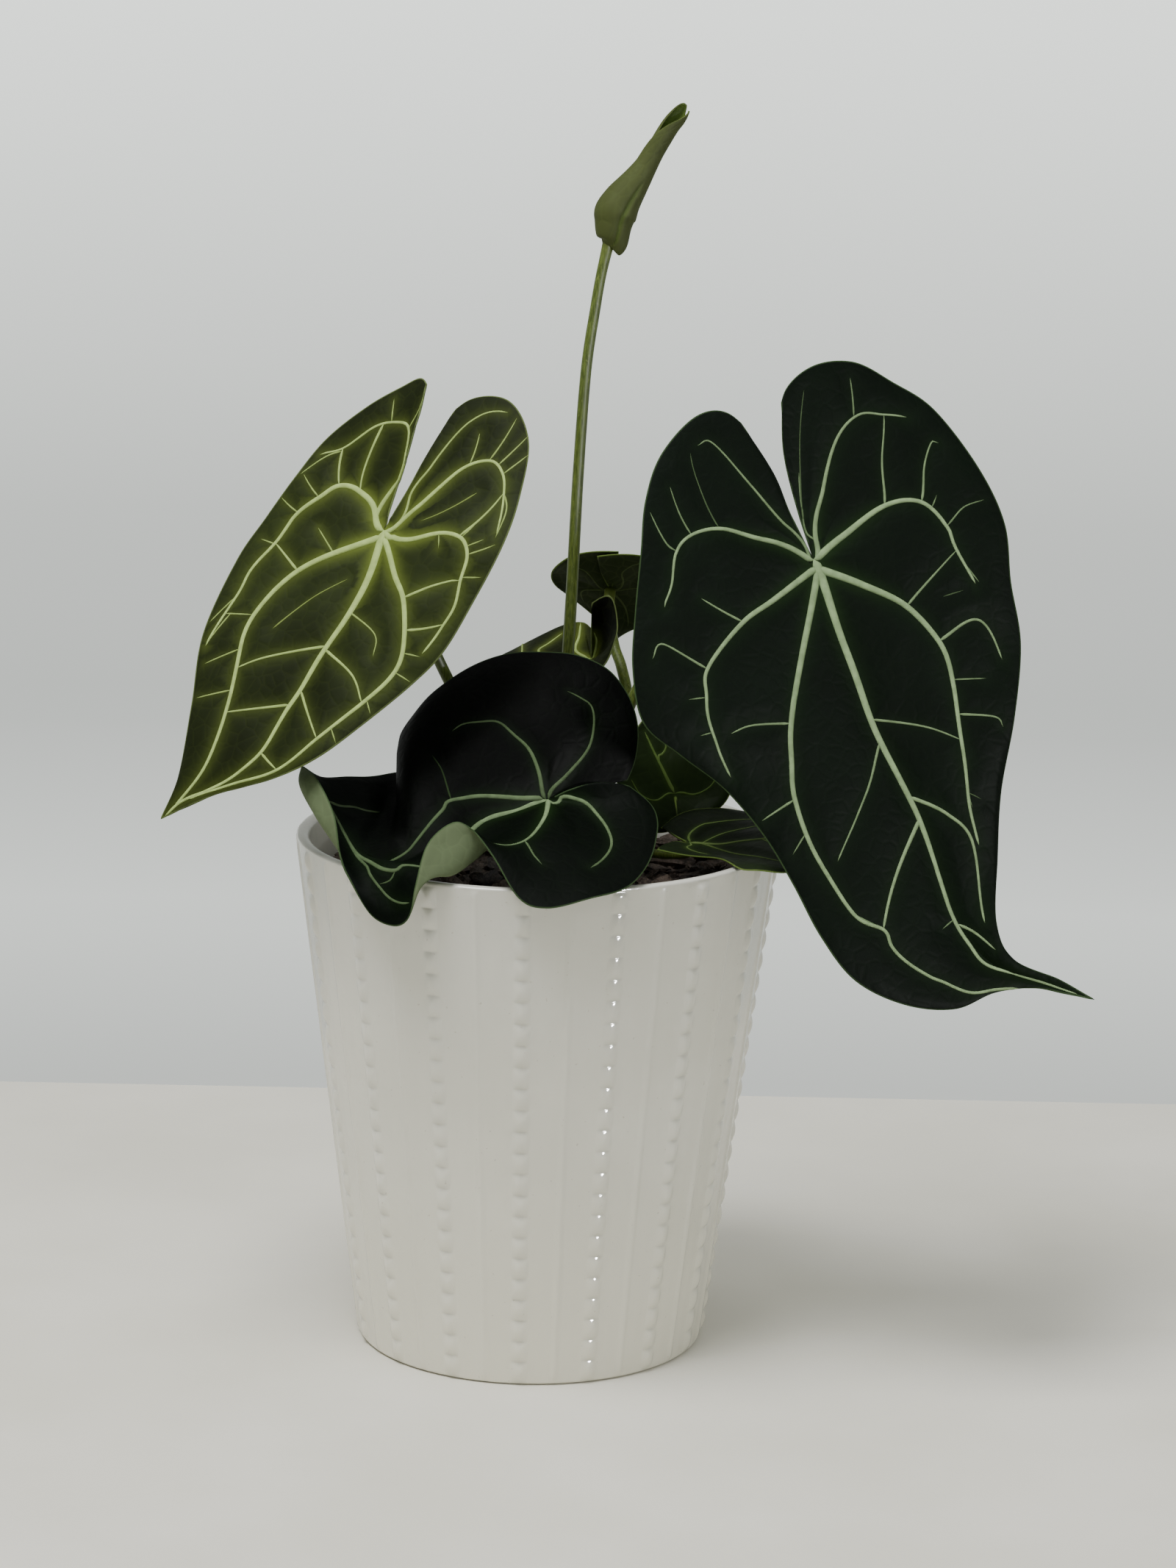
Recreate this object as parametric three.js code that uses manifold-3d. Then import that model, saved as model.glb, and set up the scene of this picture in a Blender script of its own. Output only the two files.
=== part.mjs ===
// A young potted anthurium brownii: long-stalked, heart-shaped leaves with
// raised pale veins, in a tapered white stoneware pot with columns of beads.
// Millimetres, +Z up, the origin at the middle of the pot's foot. The side
// seen first is the one that faces -Y.
import * as THREE from 'three';
import { mergeVertices } from 'three/addons/utils/BufferGeometryUtils.js';
import Module from 'manifold-3d';

const wasm = await Module();
wasm.setup();

// Pot
const POT_HEIGHT = 145;
const RIM_RADIUS = 67.5;
const FOOT_RADIUS = 47.6;
const WALL_THICKNESS = 3.5;
const FLOOR_THICKNESS = 6;
const WALL_START = 0.8;
const WALL_END = POT_HEIGHT - 1;
const WALL_RADIUS_START = 48.7;
const WALL_RADIUS_END = 67;

// Beads and ridges on the pot's outer wall
const COLUMNS = 16;
const FIRST_COLUMN_ANGLE = -2.5;
const BEADS = 23;
const BEAD_PITCH = 6.3;
const BEAD_WIDTH = 5.4;
const BEAD_HEIGHT = 1;
const BEAD_SHOULDER = 1;
const RIDGE_WIDTH = 3.2;
const RIDGE_HEIGHT = 0.7;

// Potting mix and crown
const MIX_LEVEL = 131;
const MIX_DOME = 1.5;
const MIX_GAP = 0.4;
const CHIP_COUNT = 44;
const CHIP_SEED = 11;
const CROWN = [6, 4];
const CROWN_RADIUS = 6.5;
const CROWN_FOOT = 127;
const CROWN_TOP = 138;
const STALK_FOOT = 126;
const HOLE_CLEARANCE = 0.35;
const HOLE_SIDES = 12;

// Leaves
const BLADE_THICKNESS = 0.65;
const STALK_SIDES = 8;
const STALK_GAP = 0.4;

const potGlaze = material(0xc9c9c4, 0.28, 0);
const barkMix = material(0x3a2e27, 0.95, 0);
const darkBlade = material(0x1f2a22, 0.45, 0);
const oliveBlade = material(0x3d4531, 0.5, 0);
const brightBlade = material(0x4c6130, 0.5, 0);
const stalkGreen = material(0x6b7b45, 0.55, 0);
const crownBrown = material(0x6e6040, 0.8, 0);

function material(color, roughness, metalness) {
  return new THREE.MeshStandardMaterial({ color, roughness, metalness, side: THREE.DoubleSide });
}

// Small vector and curve helpers
const vector = (point) => new THREE.Vector3(...point);

function curveThrough(points) {
  return new THREE.CatmullRomCurve3(points.map(vector), false, 'catmullrom', 0.5);
}

function polar(radius, angle, z) {
  return new THREE.Vector3(radius * Math.sin(angle), -radius * Math.cos(angle), z);
}

// A closed body from a list of triangles, three corner vectors each. Corners
// that coincide are merged and triangles with two equal corners are dropped.
function bodyFromTriangles(triangles) {
  const positions = [];
  for (const corners of triangles) {
    const [a, b, c] = corners;
    const flat = a.distanceTo(b) < 1e-4 || b.distanceTo(c) < 1e-4 || c.distanceTo(a) < 1e-4;
    if (!flat) {
      corners.forEach((corner) => positions.push(corner.x, corner.y, corner.z));
    }
  }
  const geometry = new THREE.BufferGeometry();
  geometry.setAttribute('position', new THREE.Float32BufferAttribute(positions, 3));
  return mergeVertices(geometry, 1e-4);
}

function quad(a, b, c, d) {
  return [[a, b, c], [a, c, d]];
}

// A closed body through rings of equally many corners, each ring running
// counter-clockwise seen against the direction of the loft.
function loft(rings) {
  const triangles = [];
  const count = rings[0].length;
  for (let i = 0; i < rings.length - 1; i += 1) {
    for (let j = 0; j < count; j += 1) {
      const k = (j + 1) % count;
      triangles.push(...quad(rings[i][j], rings[i][k], rings[i + 1][k], rings[i + 1][j]));
    }
  }
  triangles.push(...fan(rings[0], true), ...fan(rings[rings.length - 1], false));
  return bodyFromTriangles(triangles);
}

function fan(ring, reversed) {
  const centre = new THREE.Vector3();
  ring.forEach((corner) => centre.addScaledVector(corner, 1 / ring.length));
  return ring.map((corner, j) => {
    const next = ring[(j + 1) % ring.length];
    return reversed ? [centre, next, corner] : [centre, corner, next];
  });
}

// Solids for joining and cutting
function toSolid(geometry) {
  const bare = new THREE.BufferGeometry();
  bare.setAttribute('position', geometry.getAttribute('position').clone());
  if (geometry.index) {
    bare.setIndex(geometry.index.clone());
  }
  const merged = mergeVertices(bare, 1e-4);
  return new wasm.Manifold(new wasm.Mesh({
    numProp: 3,
    vertProperties: new Float32Array(merged.getAttribute('position').array),
    triVerts: new Uint32Array(merged.index.array),
  }));
}

function toGeometry(solid) {
  const mesh = solid.getMesh();
  const geometry = new THREE.BufferGeometry();
  geometry.setAttribute('position', new THREE.BufferAttribute(mesh.vertProperties, 3));
  geometry.setIndex(new THREE.BufferAttribute(mesh.triVerts, 1));
  return geometry;
}

// The pot's outer wall: COLUMNS sectors, each with a column of pillow-like
// beads in the middle, a smooth ridge at its left border and flats between.
function wallRadius(z) {
  return THREE.MathUtils.mapLinear(z, WALL_START, WALL_END, WALL_RADIUS_START, WALL_RADIUS_END);
}

function beadRows() {
  const rows = [WALL_START];
  for (let i = 1; i < BEADS; i += 1) {
    rows.push(i * BEAD_PITCH + 0.15);
  }
  rows.push(WALL_END);
  return rows;
}

function onWall(angle, across, z, lift) {
  const radius = wallRadius(z);
  return polar(radius + lift, angle + across / radius, z);
}

function beadTriangles(angle, low, high) {
  const half = BEAD_WIDTH / 2;
  const inner = half - BEAD_SHOULDER;
  const outline = [[-half, low], [half, low], [half, high], [-half, high]];
  const crest = [
    [-inner, low + BEAD_SHOULDER],
    [inner, low + BEAD_SHOULDER],
    [inner, high - BEAD_SHOULDER],
    [-inner, high - BEAD_SHOULDER],
  ];
  const base = outline.map(([across, z]) => onWall(angle, across, z, 0));
  const top = crest.map(([across, z]) => onWall(angle, across, z, BEAD_HEIGHT));
  const triangles = quad(...top);
  for (let i = 0; i < 4; i += 1) {
    const j = (i + 1) % 4;
    triangles.push(...quad(base[i], base[j], top[j], top[i]));
  }
  return triangles;
}

function flatTriangles(edge, lineBottom, lineTop, beadOnLeft) {
  const triangles = [];
  for (let i = 0; i < edge.length - 1; i += 1) {
    const corners = [lineBottom, edge[i + 1], edge[i]];
    triangles.push(beadOnLeft ? corners : corners.toReversed());
  }
  const last = [lineBottom, lineTop, edge[edge.length - 1]];
  triangles.push(beadOnLeft ? last : last.toReversed());
  return triangles;
}

function sectorTriangles(index) {
  const angle = THREE.MathUtils.degToRad(FIRST_COLUMN_ANGLE + (index * 360) / COLUMNS);
  const halfSector = Math.PI / COLUMNS;
  const half = BEAD_WIDTH / 2;
  const rows = beadRows();
  const triangles = [];
  for (let i = 0; i < rows.length - 1; i += 1) {
    triangles.push(...beadTriangles(angle, rows[i], rows[i + 1]));
  }
  const leftEdge = rows.map((z) => onWall(angle, -half, z, 0));
  const rightEdge = rows.map((z) => onWall(angle, half, z, 0));
  const ends = [WALL_START, WALL_END];
  const rightFoot = ends.map((z) => onWall(angle + halfSector, -RIDGE_WIDTH / 2, z, 0));
  const leftFoot = ends.map((z) => onWall(angle - halfSector, RIDGE_WIDTH / 2, z, 0));
  const farFoot = ends.map((z) => onWall(angle + halfSector, RIDGE_WIDTH / 2, z, 0));
  const crest = ends.map((z) => onWall(angle + halfSector, 0, z, RIDGE_HEIGHT));
  triangles.push(...flatTriangles(rightEdge, rightFoot[0], rightFoot[1], true));
  triangles.push(...flatTriangles(leftEdge, leftFoot[0], leftFoot[1], false));
  triangles.push(...quad(rightFoot[0], crest[0], crest[1], rightFoot[1]));
  triangles.push(...quad(crest[0], farFoot[0], farFoot[1], crest[1]));
  return triangles;
}

// The corners of the wall's lower or upper edge, once round the pot.
function wallEdge(z) {
  const corners = [];
  for (let index = 0; index < COLUMNS; index += 1) {
    const angle = THREE.MathUtils.degToRad(FIRST_COLUMN_ANGLE + (index * 360) / COLUMNS);
    const ridge = angle + Math.PI / COLUMNS;
    corners.push(onWall(angle, -BEAD_WIDTH / 2, z, 0), onWall(angle, BEAD_WIDTH / 2, z, 0));
    corners.push(onWall(ridge, -RIDGE_WIDTH / 2, z, 0), onWall(ridge, 0, z, RIDGE_HEIGHT));
    corners.push(onWall(ridge, RIDGE_WIDTH / 2, z, 0));
  }
  return corners;
}

function ringLike(edge, radius, z) {
  return edge.map((corner) => polar(radius, Math.atan2(corner.x, -corner.y), z));
}

function bandTriangles(lower, upper) {
  return lower.flatMap((corner, j) => {
    const k = (j + 1) % lower.length;
    return quad(corner, lower[k], upper[k], upper[j]);
  });
}

function innerRadius(z) {
  return wallRadius(z) - WALL_THICKNESS;
}

function potGeometry() {
  const foot = wallEdge(WALL_START);
  const top = wallEdge(WALL_END);
  const rings = [
    top,
    ringLike(top, RIM_RADIUS - 0.4, POT_HEIGHT - 0.4),
    ringLike(top, RIM_RADIUS - 1.7, POT_HEIGHT),
    ringLike(top, innerRadius(WALL_END) + 1, POT_HEIGHT - 0.3),
    ringLike(top, innerRadius(WALL_END), WALL_END - 0.6),
    ringLike(top, innerRadius(10), 10),
    ringLike(top, innerRadius(10) - 3, FLOOR_THICKNESS),
  ];
  const triangles = [];
  for (let index = 0; index < COLUMNS; index += 1) {
    triangles.push(...sectorTriangles(index));
  }
  const sole = ringLike(foot, FOOT_RADIUS, 0);
  triangles.push(...bandTriangles(sole, foot), ...fan(sole, true));
  for (let i = 0; i < rings.length - 1; i += 1) {
    triangles.push(...bandTriangles(rings[i], rings[i + 1]));
  }
  triangles.push(...fan(rings[rings.length - 1], false));
  return bodyFromTriangles(triangles);
}

// Potting mix: a domed plug with half-sunk bark chips, and a plain hole for
// the crown and for each leaf stalk. A hole's flats lie at its radius.
function seededRandom(seed) {
  let state = seed;
  return () => {
    state = (state * 1664525 + 1013904223) % 4294967296;
    return state / 4294967296;
  };
}

function barkChip(place, size, turn) {
  const geometry = new THREE.IcosahedronGeometry(0.5, 0);
  geometry.scale(...size);
  geometry.applyMatrix4(new THREE.Matrix4().makeRotationFromEuler(new THREE.Euler(...turn)));
  geometry.translate(...place);
  return toSolid(geometry);
}

// Chips seen in front of the low leaf, then seeded ones over the whole top.
const SEEN_CHIPS = [
  [[47, -9, 134], [17, 9, 8], [0.2, 0.15, -0.3]],
  [[35, -20, 134], [10, 8, 7], [0, 0.3, 0.5]],
  [[-30, -34, 134], [12, 8, 7], [0.3, 0, 0.8]],
];

function barkChips() {
  const random = seededRandom(CHIP_SEED);
  const chips = SEEN_CHIPS.map((chip) => barkChip(...chip));
  while (chips.length < CHIP_COUNT) {
    const distance = 57 * Math.sqrt(random());
    const angle = 2 * Math.PI * random();
    const size = [8 + 7 * random(), 6 + 4 * random(), 5 + 3 * random()];
    const turn = [0.7 * (random() - 0.5), 0.7 * (random() - 0.5), Math.PI * random()];
    const place = [distance * Math.cos(angle), distance * Math.sin(angle), MIX_LEVEL + 2 * random()];
    const clear = Math.hypot(place[0] - CROWN[0], place[1] - CROWN[1]) > 22;
    if (clear) {
      chips.push(barkChip(place, size, turn));
    }
  }
  return chips;
}

function plainHole(x, y, radius, depth) {
  const height = 40;
  const outside = radius / Math.cos(Math.PI / HOLE_SIDES);
  const geometry = new THREE.CylinderGeometry(outside, outside, height, HOLE_SIDES);
  geometry.rotateX(Math.PI / 2);
  geometry.translate(x, y, depth + height / 2);
  return toSolid(geometry);
}

function mixGeometry(stalks) {
  const floor = FLOOR_THICKNESS + MIX_GAP;
  const edge = innerRadius(MIX_LEVEL) - MIX_GAP;
  const profile = [
    [0, floor],
    [innerRadius(10) - 3.5, floor],
    [innerRadius(10) - MIX_GAP - 0.2, 10],
    [edge, MIX_LEVEL],
    [edge * 0.6, MIX_LEVEL + MIX_DOME * 0.7],
    [0, MIX_LEVEL + MIX_DOME],
  ];
  const plug = new THREE.LatheGeometry(profile.map(([r, z]) => new THREE.Vector2(r, z)), 40);
  plug.rotateX(Math.PI / 2);
  let solid = toSolid(plug);
  barkChips().forEach((chip) => {
    solid = solid.add(chip);
  });
  const crownHole = plainHole(...CROWN, CROWN_RADIUS + HOLE_CLEARANCE, CROWN_FOOT - HOLE_CLEARANCE);
  solid = solid.subtract(crownHole);
  stalks.forEach(({ path, radii }) => {
    const [x, y] = path[0];
    const hole = plainHole(x, y, radii[0] + HOLE_CLEARANCE, STALK_FOOT - HOLE_CLEARANCE);
    solid = solid.subtract(hole);
  });
  return toGeometry(solid);
}

function crownGeometry() {
  const profile = [
    [0, CROWN_FOOT],
    [CROWN_RADIUS - 0.5, CROWN_FOOT],
    [CROWN_RADIUS, MIX_LEVEL],
    [CROWN_RADIUS - 0.4, MIX_LEVEL + 3],
    [4.4, CROWN_TOP - 1.2],
    [3.2, CROWN_TOP],
    [0, CROWN_TOP],
  ];
  const geometry = new THREE.LatheGeometry(profile.map(([r, z]) => new THREE.Vector2(r, z)), 20);
  geometry.rotateX(Math.PI / 2);
  geometry.translate(...CROWN, 0);
  return toGeometry(toSolid(geometry));
}

// A leaf stalk: a round, tapered rod along a curve. radii runs from its foot
// to its top.
function stalkGeometry({ path, radii, reach }, leaf) {
  const meeting = leaf ? [belowHeart(leaf, reach), belowHeart(leaf, STALK_GAP)] : [];
  const curve = curveThrough([...path, ...meeting]);
  const steps = Math.max(8, Math.round(curve.getLength() / 9));
  const frames = curve.computeFrenetFrames(steps);
  const rings = [];
  for (let i = 0; i <= steps; i += 1) {
    const centre = curve.getPointAt(i / steps);
    const radius = THREE.MathUtils.lerp(radii[0], radii[1], i / steps);
    const ring = [];
    for (let j = 0; j < STALK_SIDES; j += 1) {
      const angle = (2 * Math.PI * j) / STALK_SIDES;
      const corner = centre.clone();
      corner.addScaledVector(frames.normals[i], radius * Math.cos(angle));
      corner.addScaledVector(frames.binormals[i], radius * Math.sin(angle));
      ring.push(corner);
    }
    rings.push(ring);
  }
  return loft(rings);
}

// The point that lies the given distance below the middle of a blade's lower
// face, square to the blade.
function belowHeart({ heart, heading }, distance) {
  const down = -BLADE_THICKNESS / 2 - distance;
  const place = leafAxes(heading).setPosition(...heart);
  return new THREE.Vector3(0, 0, down).applyMatrix4(place).toArray();
}

// A thin sheet, given as points and triangles, becomes a closed body with the
// same triangles on both faces and a band round its border.
function thicken(points, faces, thickness) {
  const sheet = new THREE.BufferGeometry().setFromPoints(points);
  sheet.setIndex(faces.flat());
  sheet.computeVertexNormals();
  const normals = sheet.getAttribute('normal');
  const offset = (i, distance) => {
    const normal = new THREE.Vector3().fromBufferAttribute(normals, i);
    return points[i].clone().addScaledVector(normal, distance);
  };
  const upper = points.map((_, i) => offset(i, thickness / 2));
  const lower = points.map((_, i) => offset(i, -thickness / 2));
  const edges = new Map();
  const triangles = [];
  for (const [a, b, c] of faces) {
    triangles.push([upper[a], upper[b], upper[c]], [lower[a], lower[c], lower[b]]);
    [[a, b], [b, c], [c, a]].forEach(([from, to]) => {
      if (!edges.delete(`${to} ${from}`)) {
        edges.set(`${from} ${to}`, [from, to]);
      }
    });
  }
  for (const [from, to] of edges.values()) {
    triangles.push(...quad(lower[from], lower[to], upper[to], upper[from]));
  }
  return bodyFromTriangles(triangles);
}

// A leaf blade. Its heart is where the stalk meets it; heading is yaw, droop
// and twist in degrees. midrib runs from the tip to the heart, each margin
// from the tip, past the shoulder beside the heart, round the basal lobe, and
// each sinus line from the heart to the margin's end. Their points are
// [along, across, lift] from the heart, and across is positive on the left
// side. A belly, where a side has one, is the line half-way out that gives
// its folds their depth. Without one the side is arched by arch, and curl
// sets how the margin's lift sets in.
function leafAxes([yaw, droop, twist]) {
  const axes = new THREE.Matrix4();
  const euler = new THREE.Euler(...[twist, droop, yaw].map(THREE.MathUtils.degToRad), 'ZYX');
  return axes.makeRotationFromEuler(euler);
}

function halfBlade(side, midrib, rings) {
  const { shoulder, margin, sinus, belly, arch = 0, curl = 1.5, steps } = side;
  const marginCurve = curveThrough(margin);
  const sinusCurve = curveThrough(sinus);
  const midCurve = curveThrough(midrib);
  const bellyCurve = belly && curveThrough(belly.points);
  const along = (count, turn, station) => {
    const index = station <= 1 ? station * turn : turn + (station - 1) * (count - 1 - turn);
    return index / (count - 1);
  };
  const rows = [];
  for (let i = 0; i <= steps[0] + steps[1]; i += 1) {
    const station = i <= steps[0] ? i / steps[0] : 1 + (i - steps[0]) / steps[1];
    const edge = marginCurve.getPoint(along(margin.length, shoulder, station));
    const mid = midCurve.getPoint(Math.min(station, 1));
    const half = bellyCurve?.getPoint(along(belly.points.length, belly.shoulder, station));
    const nearSinus = Math.max(station - 1, 0) ** 3;
    const row = [];
    for (let j = 0; j <= rings; j += 1) {
      const out = j / rings;
      const ray = half ? bellied(mid, half, edge, out) : arched(mid, edge, out, station, arch, curl);
      row.push(ray.lerp(sinusCurve.getPoint(out), nearSinus));
    }
    rows.push(row);
  }
  return rows;
}

function bellied(mid, half, edge, out) {
  const point = mid.clone().multiplyScalar((1 - out) * (1 - 2 * out));
  point.addScaledVector(half, 4 * out * (1 - out));
  return point.addScaledVector(edge, out * (2 * out - 1));
}

function arched(mid, edge, out, station, arch, curl) {
  const point = mid.clone().lerp(edge, out);
  const dome = arch * 4 * out * (1 - out) * Math.sin((Math.PI * station) / 2);
  point.z = mid.z + (edge.z - mid.z) * out ** curl + dome;
  return point;
}

function bladeGeometry({ heart, heading, midrib, left, right, rings }) {
  const points = [];
  const faces = [];
  const known = new Map();
  const place = leafAxes(heading).setPosition(...heart);
  const indexOf = (point) => {
    const key = point.toArray().map((value) => value.toFixed(3)).join(' ');
    if (!known.has(key)) {
      known.set(key, points.length);
      points.push(point.clone().applyMatrix4(place));
    }
    return known.get(key);
  };
  const addFace = (corners, reversed) => {
    if (new Set(corners).size === 3) {
      faces.push(reversed ? corners.toReversed() : corners);
    }
  };
  for (const [side, isLeft] of [[left, true], [right, false]]) {
    const rows = halfBlade(side, midrib, rings).map((row) => row.map(indexOf));
    for (let i = 0; i < rows.length - 1; i += 1) {
      for (let j = 0; j < rings; j += 1) {
        addFace([rows[i][j], rows[i + 1][j], rows[i + 1][j + 1]], isLeft);
        addFace([rows[i][j], rows[i + 1][j + 1], rows[i][j + 1]], isLeft);
      }
    }
  }
  return thicken(points, faces, BLADE_THICKNESS);
}

// Left leaf: broad, facing up and towards the front, its tip over the rim.
const LEFT_LEAF = {
  heart: [-43, -12, 231],
  heading: [-132, 56, -8],
  midrib: [
    [94, -31, -3], [88, -25, -2], [75, -11, 0], [54, -4, 0], [38, -2, 0], [24, 1, 0], [13, 2, 0],
    [0, 0, 0],
  ],
  right: {
    shoulder: 5,
    steps: [12, 10],
    arch: 1.5,
    margin: [
      [94, -31, -3], [82, -30, -1], [62, -34, 2], [42, -40, 3], [19, -41, 2], [5, -38, 2],
      [-8, -34, 3], [-21, -31, 2], [-32, -23, 3], [-40, -16, 3], [-46, -10, 4], [-42, -3, 6],
    ],
    sinus: [[0, 0, 0], [-12, -0.8, 2], [-28, 0, 6], [-42, -3, 6]],
  },
  left: {
    shoulder: 7,
    steps: [12, 10],
    arch: 1.5,
    margin: [
      [94, -31, -3], [84, -16, -1], [76, 1, 1], [67, 12, 1], [54, 20, -1], [39, 28, -3],
      [28, 33, -3], [12, 36, -2], [-4, 38, -1], [-19, 36, -3], [-36, 33, -3], [-48, 24, -2],
      [-48, 12, -1], [-39, 5, 0],
    ],
    sinus: [[0, 0, 0], [-12, 1.3, 0], [-26, 3, 0], [-39, 5, 0]],
  },
  rings: 4,
};

// Right leaf: the longest, hanging down past the pot's right side.
const RIGHT_LEAF = {
  heart: [74, -10, 225],
  heading: [-48, 60, 29],
  midrib: [
    [138, 32, 4], [130, 21, 2], [121, 10, 1], [110, 5, 0], [95, 4, 0], [75, 3, 0], [50, 0, 0],
    [26, 0, 0], [0, 0, 0],
  ],
  right: {
    shoulder: 14,
    steps: [16, 12],
    arch: 2,
    margin: [
      [138, 32, 4], [134, 25, 3], [130, 18, 2], [128, 7, 2], [129, -5, 2], [124, -18, 3],
      [114, -29, 4],
      [100, -34, 4], [84, -36, 2], [69, -39, 1], [54, -45, 1], [42, -54, 3], [31, -61, 4],
      [16, -59, 4], [1, -53, 3], [-15, -46, 3], [-28, -41, 2], [-40, -34, 1], [-50, -22, 1],
      [-51, -13, 1], [-42, -7, 2],
    ],
    sinus: [[0, 0, 0], [-14, -2, 1], [-26, -3, 2], [-42, -7, 2]],
  },
  left: {
    shoulder: 9,
    steps: [16, 12],
    arch: 2,
    margin: [
      [138, 32, 4], [130, 25, 3], [121, 15, 2], [110, 14, 2], [93, 21, 0], [76, 28, 1],
      [58, 38, 3], [39, 47, 2], [22, 50, 3], [6, 54, 3], [-11, 53, 2], [-31, 48, 0],
      [-42, 41, 0], [-52, 34, 1], [-56, 23, 3], [-53, 12, 4], [-44, 5, 4],
    ],
    sinus: [[0, 0, 0], [-14, 0, 1], [-30, 1, 3], [-44, 5, 4]],
  },
  rings: 5,
};

// Front leaf: lying over the rim to the left, deeply waved, its near side
// folded down outside the pot twice and its far side rolled up and over.
const FRONT_LEAF = {
  heart: [3, -30, 161],
  heading: [184, 4, -38],
  midrib: [
    [66, -14, 4], [61, -6, 1], [57, 3, 0], [54, 10, 1], [51, 16, 2], [46, 22, 5], [41, 21, 3],
    [35, 18, 3], [27, 13, 4], [19, 8, 2], [9, 4, 1], [0, 0, 0],
  ],
  left: {
    shoulder: 13,
    steps: [22, 12],
    margin: [
      [66, -14, 4], [62, -1, 14], [58, 11, 13], [57, 22, 8], [55, 28, 6], [50, 37, 2],
      [44, 42, 3], [40, 43, 8], [38, 37, 13], [34, 27, 18], [27, 21, 19], [22, 22, 17],
      [17, 31, 16], [11, 44, 14], [4, 48, 14], [-7, 47, 14], [-17, 43, 11], [-25, 31, 6],
      [-30, 16, 1], [-27, 5, 2],
    ],
    sinus: [[0, 0, 0], [-9, 1, 1.5], [-18, 2, 2], [-27, 5, 2]],
    belly: {
      shoulder: 13,
      points: [
        [66, -14, 4], [67, -4, 8], [63, 8, 8], [57, 17, 5], [53, 22, 4], [48, 26, 6],
        [43, 28, 8], [38, 30, 10], [33, 32, 11], [28, 32, 10], [22, 27, 9], [16, 21, 8],
        [10, 22, 10], [3, 23, 10], [-3, 23, 9], [-9, 22, 7], [-15, 17, 4], [-18, 9, 2],
        [-13.5, 1.5, 2],
      ],
    },
  },
  right: {
    shoulder: 12,
    steps: [22, 12],
    margin: [
      [66, -14, 4], [61, -14, -1], [54, -16, -4], [48, -18, -7], [43, -21, -10],
      [37, -24, -12], [36, -25, -8], [39, -25, 0], [34, -31, 4], [28, -35, 8], [18, -40, 11],
      [8, -42, 13], [-2, -41, 14], [-12, -39, 14], [-21, -34, 13], [-27, -24, 10],
      [-27, -16, 6], [-22, -8, 1],
    ],
    sinus: [[0, 0, 0], [-11, -4.2, 1], [-22, -8, 1]],
    belly: {
      shoulder: 12,
      points: [
        [66, -14, 4], [60, -9, 0], [55, -6, -2], [49, -4, -4], [45, -3, -6], [42, 0, -4],
        [41, 2, -1], [40, 0, 2], [37, -7, 6], [30, -12, 8], [21, -15, 10], [10, -17, 11],
        [-1, -17, 11], [-7, -16, 10], [-12, -14, 8], [-15, -11, 6], [-14, -7, 3],
        [-11, -4.2, 1],
      ],
    },
  },
  rings: 7,
};

// Middle leaf: small, behind the front leaf, one lobe standing up.
const MIDDLE_LEAF = {
  heart: [14, 28, 189],
  heading: [176, 10, -35],
  midrib: [[34, 7, 5], [25, 7, 7], [17, 6, 6], [9, 3, 3], [0, 0, 0]],
  right: {
    shoulder: 5,
    steps: [8, 6],
    margin: [
      [34, 7, 5], [29, -1, 2], [24, -7, 0], [17, -13, -2], [8, -16, -1], [2, -15, 0],
      [-1, -11, 0],
    ],
    sinus: [[0, 0, 0], [-1, -5, 0], [-1, -11, 0]],
  },
  left: {
    shoulder: 5,
    steps: [8, 8],
    margin: [
      [34, 7, 5], [24, 15, 8], [13, 18, 8], [2, 16, 8], [-5, 12, 9], [-9, 6, 13], [-10, 1, 15],
      [-10, -4, 19], [-8, -6, 19], [-3, -6, 16],
    ],
    sinus: [[0, 0, 0], [-0.8, -1.8, 5], [-1.8, -3.9, 10.5], [-3, -6, 16]],
  },
  rings: 3,
};

// Low leaf: flat and bright, just over the potting mix at the right.
const LOW_LEAF = {
  heart: [42, -14, 146],
  heading: [-8, -3, 8],
  midrib: [[34, -3, 1], [28, -3, 3], [21, -3, 3], [10, -2, 1], [0, 0, 0]],
  left: {
    shoulder: 4,
    steps: [7, 5],
    margin: [
      [34, -3, 1], [29, 6, 2], [21, 15, 2], [12, 20, 2], [5, 22, 2], [-1, 19, 2], [-4, 11, 1],
    ],
    sinus: [[0, 0, 0], [-3, 5, 1], [-4, 11, 1]],
  },
  right: {
    shoulder: 5,
    steps: [7, 5],
    margin: [
      [34, -3, 1], [33, -18, 0], [29, -25, 1], [22, -26, 2], [17, -25, 2], [11, -20, 3],
      [4, -13, 2], [-1, -7, 1],
    ],
    sinus: [[0, 0, 0], [-2, -3, 1], [-1, -7, 1]],
  },
  rings: 3,
};

// Upright leaf: small, turned with its face to the front, under the right leaf.
const UPRIGHT_LEAF = {
  heart: [38, 12, 154],
  heading: [110, -70, 0],
  midrib: [[24, 4, -2], [15, 3, -1], [7, 2, 0], [0, 0, 0]],
  left: {
    shoulder: 3,
    steps: [7, 5],
    margin: [
      [24, 4, -2], [19, 8, -2], [12, 12, -1], [5, 13, -2], [-1, 11, -1], [-5, 6, -1],
    ],
    sinus: [[0, 0, 0], [-4, 2, 0], [-5, 6, -1]],
  },
  right: {
    shoulder: 3,
    steps: [7, 5],
    margin: [
      [24, 4, -2], [20, -5, 0], [11, -12, 3], [4, -15, 6], [-2, -13, 6], [-6, -8, 4],
    ],
    sinus: [[0, 0, 0], [-5, -3, 2], [-6, -8, 4]],
  },
  rings: 3,
};

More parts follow.
